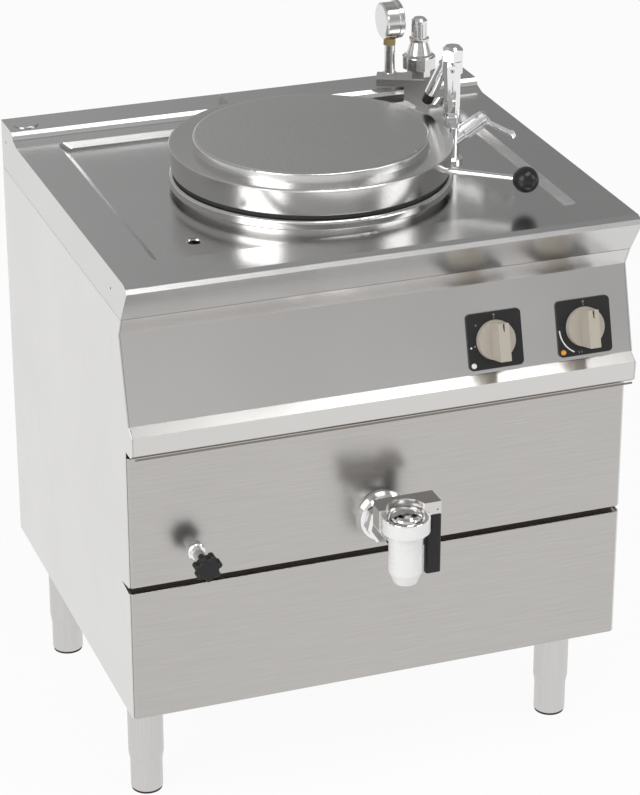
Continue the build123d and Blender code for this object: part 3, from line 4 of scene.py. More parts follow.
import bpy
import numpy as np
from mathutils import Matrix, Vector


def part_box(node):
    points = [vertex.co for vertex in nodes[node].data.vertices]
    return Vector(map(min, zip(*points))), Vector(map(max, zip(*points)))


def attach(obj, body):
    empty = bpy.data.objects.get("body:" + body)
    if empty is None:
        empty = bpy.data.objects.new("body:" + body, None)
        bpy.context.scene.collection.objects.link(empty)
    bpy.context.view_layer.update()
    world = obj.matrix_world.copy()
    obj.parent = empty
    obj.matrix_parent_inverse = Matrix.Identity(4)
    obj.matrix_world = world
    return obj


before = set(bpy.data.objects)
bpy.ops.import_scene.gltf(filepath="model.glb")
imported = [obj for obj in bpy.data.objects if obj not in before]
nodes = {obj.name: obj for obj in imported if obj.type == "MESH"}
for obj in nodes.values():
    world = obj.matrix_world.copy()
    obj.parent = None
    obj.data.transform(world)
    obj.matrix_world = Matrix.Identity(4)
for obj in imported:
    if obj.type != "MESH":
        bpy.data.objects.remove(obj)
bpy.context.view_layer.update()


def centre(node):
    """Middle of a node's box."""
    low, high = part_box(node)
    return (np.array(low) + np.array(high)) / 2.0


# ---------------------------------------------------------------- camera
FRAME_LONG_SIDE = 795.0
FOCAL_PIXELS = 2885.79
YAW, PITCH, ROLL = 0.3483, 0.4290, -0.0007
EYE = (-1.4194, -3.90355, 2.4830)
SENSOR = 36.0
SHIFT_PIXELS = (0.32, -14.79)


def make_camera():
    """Camera whose axes are the right, up and backward directions of a turned and tilted view."""
    data = bpy.data.cameras.new("view_camera")
    camera = bpy.data.objects.new("view_camera", data)
    bpy.context.scene.collection.objects.link(camera)
    forward = np.array([
        math.sin(YAW) * math.cos(PITCH),
        math.cos(YAW) * math.cos(PITCH),
        -math.sin(PITCH),
    ])
    right = np.array([math.cos(YAW), -math.sin(YAW), 0.0])
    up = np.cross(right, forward)
    turned_right = math.cos(ROLL) * right + math.sin(ROLL) * up
    turned_up = -math.sin(ROLL) * right + math.cos(ROLL) * up
    axes = np.column_stack([turned_right, turned_up, -forward])
    matrix = np.eye(4)
    matrix[:3, :3] = axes
    matrix[:3, 3] = EYE
    camera.matrix_world = Matrix(matrix.tolist())
    data.sensor_fit = "AUTO"
    data.sensor_width = SENSOR
    data.lens = FOCAL_PIXELS * SENSOR / FRAME_LONG_SIDE
    data.shift_x = SHIFT_PIXELS[0] / FRAME_LONG_SIDE
    data.shift_y = SHIFT_PIXELS[1] / FRAME_LONG_SIDE
    data.clip_end = 60.0
    bpy.context.scene.camera = camera


make_camera()
bpy.context.scene.view_settings.view_transform = "Standard"


# ---------------------------------------------------------------- shader effects
def new_group(name, inputs, outputs):
    """Empty shader group with named float or vector inputs and float or colour outputs."""
    group = bpy.data.node_groups.new(name, "ShaderNodeTree")
    for label, kind, value in inputs:
        socket = group.interface.new_socket(label, in_out="INPUT", socket_type=kind)
        if value is not None:
            socket.default_value = value
    for label, kind in outputs:
        group.interface.new_socket(label, in_out="OUTPUT", socket_type=kind)
    enter = group.nodes.new("NodeGroupInput")
    leave = group.nodes.new("NodeGroupOutput")
    return group, enter, leave


def brushed_group():
    """Fine lines: noise on coordinates squeezed along one direction, with slow clouds beside it."""
    group, enter, leave = new_group(
        "brushed_lines",
        [("Position", "NodeSocketVector", None), ("Stretch", "NodeSocketVector", (1.0, 1.0, 1.0)),
         ("Cloud Scale", "NodeSocketFloat", 3.0)],
        [("Lines", "NodeSocketFloat"), ("Clouds", "NodeSocketFloat")],
    )
    add, link = group.nodes.new, group.links.new
    squeeze = add("ShaderNodeVectorMath")
    squeeze.operation = "MULTIPLY"
    link(enter.outputs["Position"], squeeze.inputs[0])
    link(enter.outputs["Stretch"], squeeze.inputs[1])
    fine = add("ShaderNodeTexNoise")
    fine.inputs["Scale"].default_value = 1.0
    fine.inputs["Detail"].default_value = 3.0
    fine.inputs["Roughness"].default_value = 0.6
    link(squeeze.outputs[0], fine.inputs["Vector"])
    clouds = add("ShaderNodeTexNoise")
    clouds.inputs["Detail"].default_value = 2.0
    link(enter.outputs["Position"], clouds.inputs["Vector"])
    link(enter.outputs["Cloud Scale"], clouds.inputs["Scale"])
    link(fine.outputs["Fac"], leave.inputs["Lines"])
    link(clouds.outputs["Fac"], leave.inputs["Clouds"])
    return group


def speckle_group():
    """Moulded grain: fine noise for the surface and a slow one for handling marks."""
    group, enter, leave = new_group(
        "moulded_grain",
        [("Position", "NodeSocketVector", None), ("Grain Scale", "NodeSocketFloat", 1500.0),
         ("Mark Scale", "NodeSocketFloat", 30.0)],
        [("Grain", "NodeSocketFloat"), ("Marks", "NodeSocketFloat")],
    )
    for label, scale, detail in (("Grain", "Grain Scale", 2.0), ("Marks", "Mark Scale", 4.0)):
        noise = group.nodes.new("ShaderNodeTexNoise")
        noise.inputs["Detail"].default_value = detail
        group.links.new(enter.outputs["Position"], noise.inputs["Vector"])
        group.links.new(enter.outputs[scale], noise.inputs["Scale"])
        group.links.new(noise.outputs["Fac"], leave.inputs[label])
    return group


def worn_group():
    """Edge mask: where the bevelled normal leaves the flat one."""
    group, enter, leave = new_group(
        "worn_edges",
        [("Position", "NodeSocketVector", None), ("Radius", "NodeSocketFloat", 0.0012)],
        [("Edge", "NodeSocketFloat")],
    )
    add, link = group.nodes.new, group.links.new
    bevel = add("ShaderNodeBevel")
    bevel.samples = 4
    link(enter.outputs["Radius"], bevel.inputs["Radius"])
    flat = add("ShaderNodeNewGeometry")
    dot = add("ShaderNodeVectorMath")
    dot.operation = "DOT_PRODUCT"
    link(bevel.outputs["Normal"], dot.inputs[0])
    link(flat.outputs["Normal"], dot.inputs[1])
    ramp = add("ShaderNodeMapRange")
    ramp.inputs["From Min"].default_value = 0.995
    ramp.inputs["From Max"].default_value = 0.85
    link(dot.outputs["Value"], ramp.inputs["Value"])
    link(ramp.outputs["Result"], leave.inputs["Edge"])
    return group


BRUSHED = brushed_group()
MOULDED = speckle_group()
WORN = worn_group()


# places of the two colours and of the result on a mix node set to colours
COLOUR_A, COLOUR_B, COLOUR_OUT = 6, 7, 2


class Finish:
    """A material with its Principled shader, object position and the helpers that feed it."""

    def __init__(self, name, colour, roughness, metallic=0.0, **sockets):
        self.material = bpy.data.materials.new(name)
        self.material.use_nodes = True
        self.tree = self.material.node_tree
        self.shader = self.tree.nodes["Principled BSDF"]
        self.shader.inputs["Base Color"].default_value = (*colour, 1.0)
        self.shader.inputs["Roughness"].default_value = roughness
        self.shader.inputs["Metallic"].default_value = metallic
        for label, value in sockets.items():
            self.shader.inputs[label.replace("_", " ")].default_value = value
        self.place = self.tree.nodes.new("ShaderNodeTexCoord").outputs["Object"]

    def group(self, tree, **values):
        """Places a shared effect with its own values and the object position."""
        node = self.tree.nodes.new("ShaderNodeGroup")
        node.node_tree = tree
        self.tree.links.new(self.place, node.inputs["Position"])
        for label, value in values.items():
            node.inputs[label.replace("_", " ")].default_value = value
        return node

    def spread(self, source, low, high, target, from_low=0.3, from_high=0.7):
        """Maps a mask onto a shader socket between two values."""
        ramp = self.tree.nodes.new("ShaderNodeMapRange")
        ramp.inputs["From Min"].default_value = from_low
        ramp.inputs["From Max"].default_value = from_high
        ramp.inputs["To Min"].default_value = low
        ramp.inputs["To Max"].default_value = high
        self.tree.links.new(source, ramp.inputs["Value"])
        self.tree.links.new(ramp.outputs["Result"], self.shader.inputs[target])

    def tint(self, source, first, second, from_low=0.3, from_high=0.7):
        """Blends two colours by a mask into the base colour."""
        ramp = self.tree.nodes.new("ShaderNodeMapRange")
        ramp.inputs["From Min"].default_value = from_low
        ramp.inputs["From Max"].default_value = from_high
        self.tree.links.new(source, ramp.inputs["Value"])
        mix = self.tree.nodes.new("ShaderNodeMix")
        mix.data_type = "RGBA"
        mix.inputs[COLOUR_A].default_value = (*first, 1.0)
        mix.inputs[COLOUR_B].default_value = (*second, 1.0)
        self.tree.links.new(ramp.outputs["Result"], mix.inputs[0])
        self.tree.links.new(mix.outputs[COLOUR_OUT], self.shader.inputs["Base Color"])

    def relief(self, source, strength, distance):
        """Bump from a height."""
        bump = self.tree.nodes.new("ShaderNodeBump")
        bump.inputs["Strength"].default_value = strength
        bump.inputs["Distance"].default_value = distance
        self.tree.links.new(source, bump.inputs["Height"])
        self.tree.links.new(bump.outputs["Normal"], self.shader.inputs["Normal"])


CLOUD_SPREAD = 0.03
LINE_DEPTH = 0.00008
GRAIN_DEPTH = 0.00006
# heights of the painted shade band along the fascia's bottom hem
HEM_SHADE_HEIGHTS = (0.6562, 0.6572)


def shade(colour, factor):
    """A colour made lighter or darker."""
    return tuple(min(1.0, channel * factor) for channel in colour)


def steel_sheet(name, colour, roughness, stretch, line_strength):
    """Stainless sheet with cloudy roughness and lines in relief: the finish and its mask of lines."""
    made = Finish(name, colour, roughness, 1.0)
    lines = made.group(BRUSHED, Stretch=stretch, Cloud_Scale=5.0)
    clouds = (roughness - CLOUD_SPREAD, roughness + CLOUD_SPREAD)
    made.spread(lines.outputs["Clouds"], *clouds, "Roughness")
    made.relief(lines.outputs["Lines"], line_strength, LINE_DEPTH)
    return made, lines.outputs["Lines"]


def brushed_steel(name, colour, roughness, stretch, line_strength):
    """Sheet whose lines also show in its colour."""
    made, lines = steel_sheet(name, colour, roughness, stretch, line_strength)
    made.tint(lines, shade(colour, 0.95), shade(colour, 1.04))
    return made.material


def hem_shaded_steel(name, colour, hem_shade_colour, roughness, stretch, line_strength):
    """Sheet whose turned-in hem, at the bottom, is painted darker: painted shade standing for the shadow
    under the ledge.
    """
    made, _ = steel_sheet(name, colour, roughness, stretch, line_strength)
    split = made.tree.nodes.new("ShaderNodeSeparateXYZ")
    made.tree.links.new(made.place, split.inputs[0])
    # painted shade: dark tone below the hem heights, for the shadow under the ledge
    made.tint(split.outputs["Z"], hem_shade_colour, colour, *HEM_SHADE_HEIGHTS)
    return made.material


def turned_metal(name, colour, roughness):
    """Plated or turned metal: faint marks in roughness and brighter edges."""
    made = Finish(name, colour, roughness, 1.0)
    marks = made.group(MOULDED, Grain_Scale=900.0, Mark_Scale=45.0)
    edge = made.group(WORN, Radius=0.0008)
    made.tint(edge.outputs["Edge"], colour, shade(colour, 1.12), 0.0, 1.0)
    made.spread(marks.outputs["Marks"], max(0.02, roughness - 0.03), roughness + 0.04, "Roughness")
    return made.material


def moulded(name, colour, roughness, grain, **sockets):
    """Moulded plastic or rubber: fine grain in relief, soft marks, paler worn edges."""
    made = Finish(name, colour, roughness, 0.0, **sockets)
    spots = made.group(MOULDED, Grain_Scale=1800.0, Mark_Scale=40.0)
    edge = made.group(WORN, Radius=0.0007)
    worn = tuple(min(1.0, channel * 1.25 + 0.01) for channel in colour)
    made.tint(edge.outputs["Edge"], colour, worn, 0.0, 1.0)
    made.spread(spots.outputs["Marks"], max(0.04, roughness - 0.05), roughness + 0.06, "Roughness")
    made.relief(spots.outputs["Grain"], grain, GRAIN_DEPTH)
    return made.material


ALONG_X = (12.0, 900.0, 900.0)
ALONG_Z = (900.0, 900.0, 12.0)
EVEN = (260.0, 260.0, 260.0)

# name: colour, roughness, stretch of the lines, strength of their relief
STEELS = {
    "worktop_steel": ((0.62, 0.615, 0.61), 0.20, ALONG_X, 0.04),
    "panel_steel": ((0.66, 0.645, 0.63), 0.24, ALONG_X, 0.05),
    # the panel steel painted darker: painted shade for the front panels
    "front_steel_painted_shade": ((0.50, 0.485, 0.47), 0.24, ALONG_X, 0.05),
    "side_steel": ((0.74, 0.735, 0.725), 0.34, ALONG_Z, 0.07),
    "lid_steel": ((0.64, 0.635, 0.625), 0.19, EVEN, 0.03),
    "leg_steel": ((0.61, 0.60, 0.59), 0.32, ALONG_Z, 0.06),
}
# name: colour, roughness
METALS = {
    "bright_steel": ((0.74, 0.735, 0.73), 0.16),
    "chrome": ((0.84, 0.84, 0.84), 0.05),
    "cap_metal": ((0.80, 0.80, 0.80), 0.20),
    "brass": ((0.55, 0.43, 0.22), 0.22),
}
# name: colour, roughness, strength of the grain, shader sockets of its own
MOULDINGS = {
    # painted shade: dark tone for strips set in gaps and under the ledge, where shade falls
    "gap_painted_shade": ((0.20, 0.17, 0.15), 0.6, 0.15, {}),
    "black_plastic": ((0.012, 0.012, 0.012), 0.42, 0.2, {"Specular_IOR_Level": 0.35}),
    "ball_black": ((0.010, 0.010, 0.010), 0.30, 0.04, {"Specular_IOR_Level": 0.4}),
    "white_plastic": ((0.86, 0.86, 0.855), 0.28, 0.05, {"Coat_Weight": 0.3}),
    "beige_plastic": ((0.46, 0.42, 0.36), 0.45, 0.2, {}),
    "bezel_dark": ((0.020, 0.020, 0.021), 0.42, 0.12, {"Specular_IOR_Level": 0.3}),
    "seal_rubber": ((0.015, 0.015, 0.015), 0.6, 0.2, {}),
    "wool": ((0.55, 0.48, 0.30), 0.95, 0.6, {}),
    "dial_white": ((0.85, 0.85, 0.83), 0.4, 0.05, {}),
    "amber_lens": ((0.80, 0.36, 0.03), 0.15, 0.05, {"Coat_Weight": 0.5}),
    "white_lens": ((0.85, 0.84, 0.78), 0.15, 0.05, {"Coat_Weight": 0.5}),
    "mark_white": ((0.80, 0.80, 0.78), 0.5, 0.05, {}),
    "mark_grey": ((0.22, 0.22, 0.22), 0.5, 0.05, {}),
    "mark_black": ((0.03, 0.03, 0.03), 0.5, 0.05, {}),
    "mark_red": ((0.55, 0.03, 0.02), 0.35, 0.05, {}),
}
FASCIA_COLOUR = (0.66, 0.645, 0.63)
# painted shade colour of the fascia's bottom hem, standing for the shadow under the ledge
HEM_SHADE_COLOUR = (0.10, 0.095, 0.09)

FINISHES = {name: brushed_steel(name, *values) for name, values in STEELS.items()}
FINISHES["fascia_steel"] = hem_shaded_steel("fascia_steel", FASCIA_COLOUR, HEM_SHADE_COLOUR, 0.24, ALONG_X, 0.05)
FINISHES.update({name: turned_metal(name, *values) for name, values in METALS.items()})
for name, (colour, roughness, grain, sockets) in MOULDINGS.items():
    FINISHES[name] = moulded(name, colour, roughness, grain, **sockets)


def window_glass():
    """Clear glass whose faint marks change its roughness."""
    made = Finish("window_glass", (0.96, 0.98, 0.98), 0.02, 0.0, Transmission_Weight=1.0, IOR=1.45)
    marks = made.group(MOULDED, Grain_Scale=300.0, Mark_Scale=60.0)
    made.spread(marks.outputs["Marks"], 0.01, 0.04, "Roughness")
    return made.material


FINISHES["glass"] = window_glass()

NODE_FINISH = {
    "worktop_steel": "worktop upstand_plug hinge_arm hinge_bracket",
    "fascia_steel": "control_fascia",
    "panel_steel": "base_frame back_panel safety_console tap_lever",
    "front_steel_painted_shade": "upper_front_panel lower_front_panel",
    # front panels carry the darker, painted-shade copy of the panel steel
    "side_steel": "left_side_panel right_side_panel",
    "lid_steel": "lid_shell inner_pan",
    "leg_steel": "leg_sleeves foot_front_left foot_front_right foot_rear_left foot_rear_right "
                 "steam_jacket",
    "bright_steel": "steam_pipe worktop_drain hinge_pin gauge_case gauge_stem lid_handle_bar "
                    "safety_valve_body",
    "chrome": "mixer_supply_pipes mixer_column mixer_valve_caps mixer_spout hot_lever cold_lever "
              "tap_flange tap_body tap_plug level_cock",
    "brass": "gauge_fitting heating_elements",
    # painted shade strips
    "gap_painted_shade": "shadow_strips",
    "cap_metal": "safety_valve_cap",
    "black_plastic": "mixer_spout_tip level_star_knob tap_grip terminal_block cable_gland rotary_switches "
                     "gauge_needle",
    "ball_black": "lid_handle_ball",
    "white_plastic": "tap_sleeve",
    "beige_plastic": "thermostat_knob selector_knob",
    "bezel_dark": "control_bezels",
    "seal_rubber": "lid_gasket",
    "wool": "insulation",
    "dial_white": "gauge_dial",
    "amber_lens": "heating_lamp",
    "white_lens": "power_lamp",
    "glass": "gauge_glass",
}
for finish_name, names in NODE_FINISH.items():
    for name in names.split():
        piece = nodes[name]
        if not piece.material_slots:
            piece.data.materials.append(FINISHES[finish_name])
        for slot in piece.material_slots:
            slot.material = FINISHES[finish_name]


# ---------------------------------------------------------------- small printed and fitted pieces
MILLIMETRE = 0.001
FASCIA_LEAN = math.atan2(36.0, 131.0)
FASCIA_TOP = np.array([0.0, -0.25175, 0.8286])
UP = (0.0, 0.0, 1.0)
FASCIA_DOWN = np.array([0.0, -math.sin(FASCIA_LEAN), -math.cos(FASCIA_LEAN)])
FASCIA_OUT = np.array([0.0, -math.cos(FASCIA_LEAN), math.sin(FASCIA_LEAN)])
CONTROL_X = {"left": 176.5, "right": 322.7}
CONTROL_DOWN = 87.0
BEZEL_FACE = 3.0
POINTER_LEVEL = 41.15
PRINT_SINK = 0.1
PRINT_THICKNESS = 0.22
DOT_SINK = 0.2
DOT_RISE = 0.12
TOP_MARK_OFFSET = 0.7
POINT_DIGITS = 8
CONTROL_BODIES = {"left": "selector", "right": "thermostat"}


def unit(vector):
    """Vector at length one."""
    vector = np.asarray(vector, dtype=float)
    return vector / np.linalg.norm(vector)


def cross_frame(axis):
    """Two directions square to an axis."""
    axis = unit(axis)
    aside = unit(np.cross(axis, UP if abs(axis[2]) < 0.9 else (1.0, 0.0, 0.0)))
    return aside, np.cross(axis, aside)


def add_piece(name, rows, body, finish, capped=False):
    """Quads over a grid of points rows[i, j] whose columns wrap round, with the end rows filled if capped.

    Points that fall together, as a row at radius zero does, are one point, and quads there are triangles.
    """
    count, around = rows.shape[:2]
    columns = np.arange(around)
    steps = np.arange(count - 1)[:, None]
    right = (columns + 1) % around
    low, high = steps * around, (steps + 1) * around
    quads = np.stack([low + columns, low + right, high + right, high + columns], axis=-1).reshape(-1, 4)
    faces = quads.tolist()
    if capped:
        faces.append(list(range(around))[::-1])
        faces.append(list(range((count - 1) * around, count * around)))
    points = rows.reshape(-1, 3)
    _, first, same = np.unique(points.round(POINT_DIGITS), axis=0, return_index=True, return_inverse=True)
    same = same.reshape(-1)
    faces = [list(dict.fromkeys(same[face].tolist())) for face in faces]
    mesh = bpy.data.meshes.new(name)
    mesh.from_pydata(points[first].tolist(), [], [face for face in faces if len(face) > 2])
    mesh.materials.append(FINISHES[finish])
    piece = bpy.data.objects.new(name, mesh)
    bpy.context.scene.collection.objects.link(piece)
    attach(piece, body)


def turned_piece(name, profile, origin, axis, body, finish, around=40):
    """Surface of revolution: origin + h axis + r (cos a u + sin a v), for each (r, h) in millimetres."""
    aside, upward = cross_frame(axis)
    angle = np.linspace(0.0, 2.0 * math.pi, around, endpoint=False)
    circle = np.cos(angle)[:, None] * aside + np.sin(angle)[:, None] * upward
    radius = np.array([point[0] for point in profile]) * MILLIMETRE
    height = np.array([point[1] for point in profile]) * MILLIMETRE
    rows = np.asarray(origin) + height[:, None, None] * unit(axis) + radius[:, None, None] * circle
    add_piece(name, rows, body, finish)


def band_piece(name, path, half_width, out, thickness, body, finish):
    """Flat bar along a path: at each point p the corners p +- w (out x t), at heights 0 and thickness."""
    path = np.asarray(path, dtype=float)
    along = np.gradient(path, axis=0)
    along = along / np.linalg.norm(along, axis=1)[:, None]
    side = np.cross(out, along) * half_width * MILLIMETRE
    lift = np.asarray(out) * thickness * MILLIMETRE
    rows = np.stack([path - side, path + side, path + side + lift, path - side + lift], axis=1)
    add_piece(name, rows, body, finish, capped=True)


def on_fascia(x, down, lift):
    """Point of the leaning control panel, in metres, from millimetres across, down and out of it."""
    across = np.array([x, 0, 0]) * MILLIMETRE
    return FASCIA_TOP + across + (down * FASCIA_DOWN + lift * FASCIA_OUT) * MILLIMETRE


def printed_dot(name, x, down, radius, finish):
    """Round mark on a bezel."""
    profile = [(0.0, -DOT_SINK), (radius, -DOT_SINK), (radius, DOT_RISE), (0.0, DOT_RISE)]
    turned_piece(name, profile, on_fascia(x, down, BEZEL_FACE), FASCIA_OUT, "casing", finish, around=16)


def printed_line(name, places, half_width, finish):
    """Mark on a bezel along places given across and down."""
    path = [on_fascia(x, down, BEZEL_FACE - PRINT_SINK) for x, down in places]
    band_piece(name, path, half_width, FASCIA_OUT, PRINT_THICKNESS, "casing", finish)


TOP_DOT_DOWN = -38.2
TOP_LINE_SPAN = (-35.4, -32.2)
for side_name, control_x in CONTROL_X.items():
    top_x = control_x + TOP_MARK_OFFSET
    printed_dot(f"{side_name}_top_dot", top_x, CONTROL_DOWN + TOP_DOT_DOWN, radius=1.7, finish="mark_grey")
    ends = [(top_x, CONTROL_DOWN + down) for down in TOP_LINE_SPAN]
    printed_line(f"{side_name}_top_line", ends, half_width=0.55, finish="mark_grey")

# across and down from the middle of the left control, radius, finish
LEFT_DOTS = (
    (-29.4, -25.4, 1.3, "mark_grey"),
    (-39.3, 7.8, 1.5, "mark_white"),
    (-33.2, 6.1, 1.4, "mark_grey"),
)
for index, (across, down, radius, finish) in enumerate(LEFT_DOTS):
    printed_dot(f"left_mark_{index}", CONTROL_X["left"] + across, CONTROL_DOWN + down, radius, finish)

ARC_RADIUS = 41.2
ARC_DEGREES = (182.0, 242.0)
ARC_POINTS = 25
arc_angle = np.radians(np.linspace(*ARC_DEGREES, ARC_POINTS))
arc_x = CONTROL_X["right"] + ARC_RADIUS * np.cos(arc_angle)
arc_down = CONTROL_DOWN - ARC_RADIUS * np.sin(arc_angle)
printed_line("right_scale_arc", zip(arc_x, arc_down), half_width=0.95, finish="mark_white")

RIGHT_MARK_SPAN = (36.2, 39.6)
RIGHT_MARKS_ACROSS = (-11.5, -7.0)
for index, across in enumerate(RIGHT_MARKS_ACROSS):
    ends = [(CONTROL_X["right"] + across, CONTROL_DOWN + down) for down in RIGHT_MARK_SPAN]
    printed_line(f"right_mark_{index}", ends, half_width=0.5, finish="mark_grey")

POINTER_ENDS = ((-0.6, -28.4), (0.2, -17.0))
POINTER_HALF_WIDTH = 0.9
POINTER_THICKNESS = 0.4
for side_name, body in CONTROL_BODIES.items():
    path = [
        on_fascia(CONTROL_X[side_name] + across, CONTROL_DOWN + down, POINTER_LEVEL)
        for across, down in POINTER_ENDS
    ]
    band_piece(
        f"{side_name}_pointer", path, POINTER_HALF_WIDTH, FASCIA_OUT, POINTER_THICKNESS, body, "mark_black"
    )

FOOT_PAD_RADIUS = 24.2
FOOT_PAD_HOLE = 22.2
FOOT_PAD_SPAN = (0.1, 3.4)
foot_pad_profile = [
    (FOOT_PAD_HOLE, FOOT_PAD_SPAN[0]),
    (FOOT_PAD_RADIUS, FOOT_PAD_SPAN[0]),
    (FOOT_PAD_RADIUS, FOOT_PAD_SPAN[1]),
    (FOOT_PAD_HOLE, FOOT_PAD_SPAN[1]),
    (FOOT_PAD_HOLE, FOOT_PAD_SPAN[0]),
]
for body in ("front_left_foot", "front_right_foot", "rear_left_foot", "rear_right_foot"):
    foot = "foot_" + body.replace("_foot", "")
    x, y, _ = centre(foot)
    turned_piece(f"{foot}_pad", foot_pad_profile, (x, y, 0.0), UP, body, "seal_rubber", around=48)

HOT_TILT = math.radians(30.0)
HOT_ROOT = np.array([0.235, 0.04825, 0.943])
HOT_LENGTH = 69.0
HOT_MARK_PROFILE = [(0.0, -0.3), (4.6, -0.3), (4.6, 0.0), (4.0, 0.35), (0.0, 0.5)]
hot_axis = np.array([math.cos(HOT_TILT), 0.0, math.sin(HOT_TILT)])
hot_end = HOT_ROOT + HOT_LENGTH * MILLIMETRE * hot_axis
turned_piece("hot_mark", HOT_MARK_PROFILE, hot_end, hot_axis, "hot_water_lever", "mark_red", around=32)

TAP_FOOT = (0.0, -0.36975, 0.0)
DOME_PROFILE = [
    (0.0, 523.0), (24.4, 523.0), (24.4, 524.6), (23.2, 527.0),
    (19.0, 529.6), (12.0, 531.4), (5.0, 532.2), (0.0, 532.4),
]
turned_piece("tap_head_dome", DOME_PROFILE, TAP_FOOT, UP, "tap_handle", "chrome", around=64)

# painted shadow: a thin dark strip right under the ledge's lip, where the ledge casts its shade
LEDGE_SHADOW_PLACE = (-0.3025, 0.6515)
LEDGE_SHADOW_REACH = 0.395
LEDGE_SHADOW_HALF_WIDTH = 1.6
LEDGE_SHADOW_THICKNESS = 0.8
TOWARDS_FRONT = (0.0, -1.0, 0.0)
ledge_shadow_path = [(x, *LEDGE_SHADOW_PLACE) for x in (-LEDGE_SHADOW_REACH, 0.0, LEDGE_SHADOW_REACH)]
band_piece("ledge_shadow_strip", ledge_shadow_path, LEDGE_SHADOW_HALF_WIDTH, TOWARDS_FRONT, LEDGE_SHADOW_THICKNESS, "casing", "gap_painted_shade")

GAUGE_CENTRE = np.array([0.2428, 0.33745, 1.055])
TICK_DEGREES = np.linspace(-45.0, 225.0, 13)
TICK_END = 24.0
LONG_TICK_START = 19.0
SHORT_TICK_START = 21.0
TICK_HALF_WIDTH = 0.5
TICK_THICKNESS = 0.2
TOWARDS_RIGHT = (1.0, 0.0, 0.0)
for index, turn in enumerate(np.radians(TICK_DEGREES)):
    spoke = np.array([0.0, math.cos(turn), math.sin(turn)]) * MILLIMETRE
    start = LONG_TICK_START if index % 3 == 0 else SHORT_TICK_START
    path = [GAUGE_CENTRE + spoke * start, GAUGE_CENTRE + spoke * TICK_END]
    band_piece(
        f"gauge_tick_{index}", path, TICK_HALF_WIDTH, TOWARDS_RIGHT, TICK_THICKNESS, "casing", "mark_black"
    )


# ---------------------------------------------------------------- floor, backdrop and light
SKY_TONES = (
    (-1.0, 0.90), (-0.05, 0.90), (0.10, 0.66), (0.35, 0.50), (0.62, 0.54), (0.85, 0.62), (1.0, 0.30)
)
SIDE_TONES = ((-1.0, 1.0), (-0.3, 1.0), (0.22, 1.0), (0.31, 0.80), (0.39, 0.64), (1.0, 0.68))
DEPTH_TONES = (
    (-1.0, 1.0), (-0.65, 1.2), (-0.42, 1.8), (-0.15, 0.9), (0.0, 0.8), (0.5, 0.9), (1.0, 0.85)
)
FLOOR_GLOW_SHARE = 0.93
FLOOR_REACH = 9.0


def studio_world():
    """Grey room: a tone by height, times one by side, brighter to the left, times one by depth."""
    world = bpy.data.worlds.new("studio")
    bpy.context.scene.world = world
    world.use_nodes = True
    tree = world.node_tree
    tree.nodes.clear()
    leave = tree.nodes.new("ShaderNodeOutputWorld")
    place = tree.nodes.new("ShaderNodeTexCoord")
    split = tree.nodes.new("ShaderNodeSeparateXYZ")
    tree.links.new(place.outputs["Generated"], split.inputs[0])
    tones = []
    for axis, stops in (("Z", SKY_TONES), ("X", SIDE_TONES), ("Y", DEPTH_TONES)):
        share = tree.nodes.new("ShaderNodeMapRange")
        share.inputs["From Min"].default_value = -1.0
        share.inputs["From Max"].default_value = 1.0
        tree.links.new(split.outputs[axis], share.inputs["Value"])
        ramp = tree.nodes.new("ShaderNodeValToRGB")
        elements = ramp.color_ramp.elements
        while len(elements) < len(stops):
            elements.new(0.5)
        for element, (place_on_axis, tone) in zip(elements, stops):
            element.position = (place_on_axis + 1.0) / 2.0
            element.color = (tone, tone, tone, 1.0)
        tree.links.new(share.outputs["Result"], ramp.inputs["Fac"])
        tones.append(ramp.outputs["Color"])
    product = tones[0]
    for tone in tones[1:]:
        times = tree.nodes.new("ShaderNodeMix")
        times.data_type = "RGBA"
        times.blend_type = "MULTIPLY"
        times.inputs[0].default_value = 1.0
        tree.links.new(product, times.inputs[COLOUR_A])
        tree.links.new(tone, times.inputs[COLOUR_B])
        product = times.outputs[COLOUR_OUT]
    room = tree.nodes.new("ShaderNodeBackground")
    tree.links.new(product, room.inputs["Color"])
    tree.links.new(room.outputs[0], leave.inputs["Surface"])


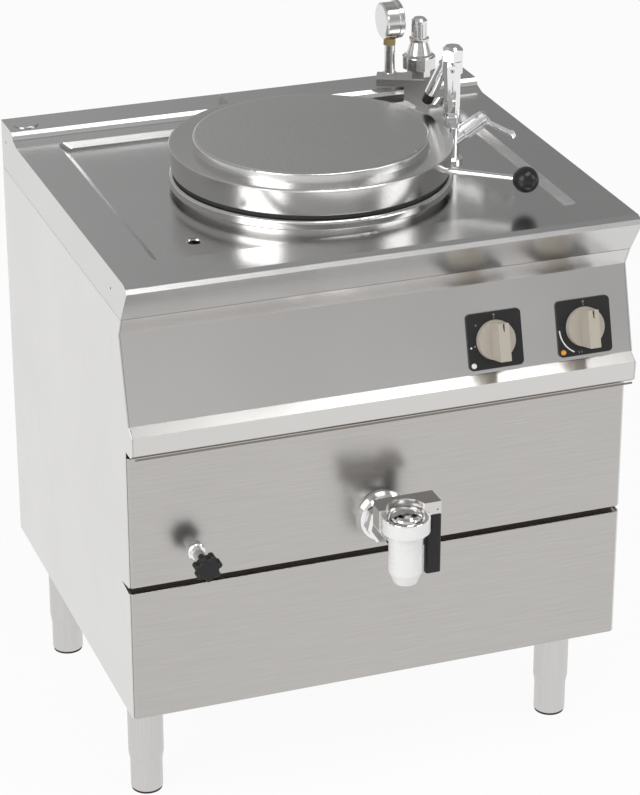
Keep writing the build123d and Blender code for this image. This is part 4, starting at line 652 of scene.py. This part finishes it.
def studio_floor():
    """Square floor at height zero: pale, keeps the object's shadow, and glows for what looks at it."""
    ends = (-FLOOR_REACH, FLOOR_REACH)
    square = [(ends[0], ends[0], 0), (ends[1], ends[0], 0), (ends[1], ends[1], 0), (ends[0], ends[1], 0)]
    mesh = bpy.data.meshes.new("studio_floor")
    mesh.from_pydata(square, [], [(0, 1, 2, 3)])
    floor = bpy.data.objects.new("studio_floor", mesh)
    bpy.context.scene.collection.objects.link(floor)
    made = Finish("floor_white", (0.86, 0.86, 0.855), 0.6)
    marks = made.group(MOULDED, Grain_Scale=40.0, Mark_Scale=2.0)
    made.spread(marks.outputs["Marks"], 0.55, 0.65, "Roughness")
    tree = made.tree
    glow = tree.nodes.new("ShaderNodeEmission")
    glow.inputs["Strength"].default_value = 1.0
    path = tree.nodes.new("ShaderNodeLightPath")
    seen = path.outputs["Is Camera Ray"]
    for kind in ("Is Glossy Ray", "Is Transmission Ray"):
        either = tree.nodes.new("ShaderNodeMath")
        either.operation = "MAXIMUM"
        tree.links.new(seen, either.inputs[0])
        tree.links.new(path.outputs[kind], either.inputs[1])
        seen = either.outputs[0]
    share = tree.nodes.new("ShaderNodeMath")
    share.operation = "MULTIPLY"
    share.inputs[1].default_value = FLOOR_GLOW_SHARE
    tree.links.new(seen, share.inputs[0])
    mix = tree.nodes.new("ShaderNodeMixShader")
    tree.links.new(share.outputs[0], mix.inputs[0])
    tree.links.new(made.shader.outputs[0], mix.inputs[1])
    tree.links.new(glow.outputs[0], mix.inputs[2])
    tree.links.new(mix.outputs[0], tree.nodes["Material Output"].inputs["Surface"])
    mesh.materials.append(made.material)


def softbox(name, place, aim, size, power):
    """Rectangular lamp turned towards a point."""
    data = bpy.data.lights.new(name, "AREA")
    data.shape = "RECTANGLE"
    data.size, data.size_y = size
    data.energy = power
    lamp = bpy.data.objects.new(name, data)
    bpy.context.scene.collection.objects.link(lamp)
    back = unit(np.subtract(place, aim))
    right = unit(np.cross(UP, back))
    matrix = np.eye(4)
    matrix[:3, :3] = np.column_stack([right, np.cross(back, right), back])
    matrix[:3, 3] = place
    lamp.matrix_world = Matrix(matrix.tolist())


studio_world()
studio_floor()
softbox("left_softbox", place=(-3.2, -1.8, 2.6), aim=(0.0, 0.0, 0.6), size=(2.4, 2.4), power=60.0)
softbox("right_softbox", place=(3.0, -2.2, 2.4), aim=(0.0, 0.0, 0.6), size=(1.8, 1.8), power=22.0)
softbox("top_softbox", place=(0.6, -1.2, 3.6), aim=(0.0, 0.0, 0.9), size=(2.2, 1.0), power=26.0)
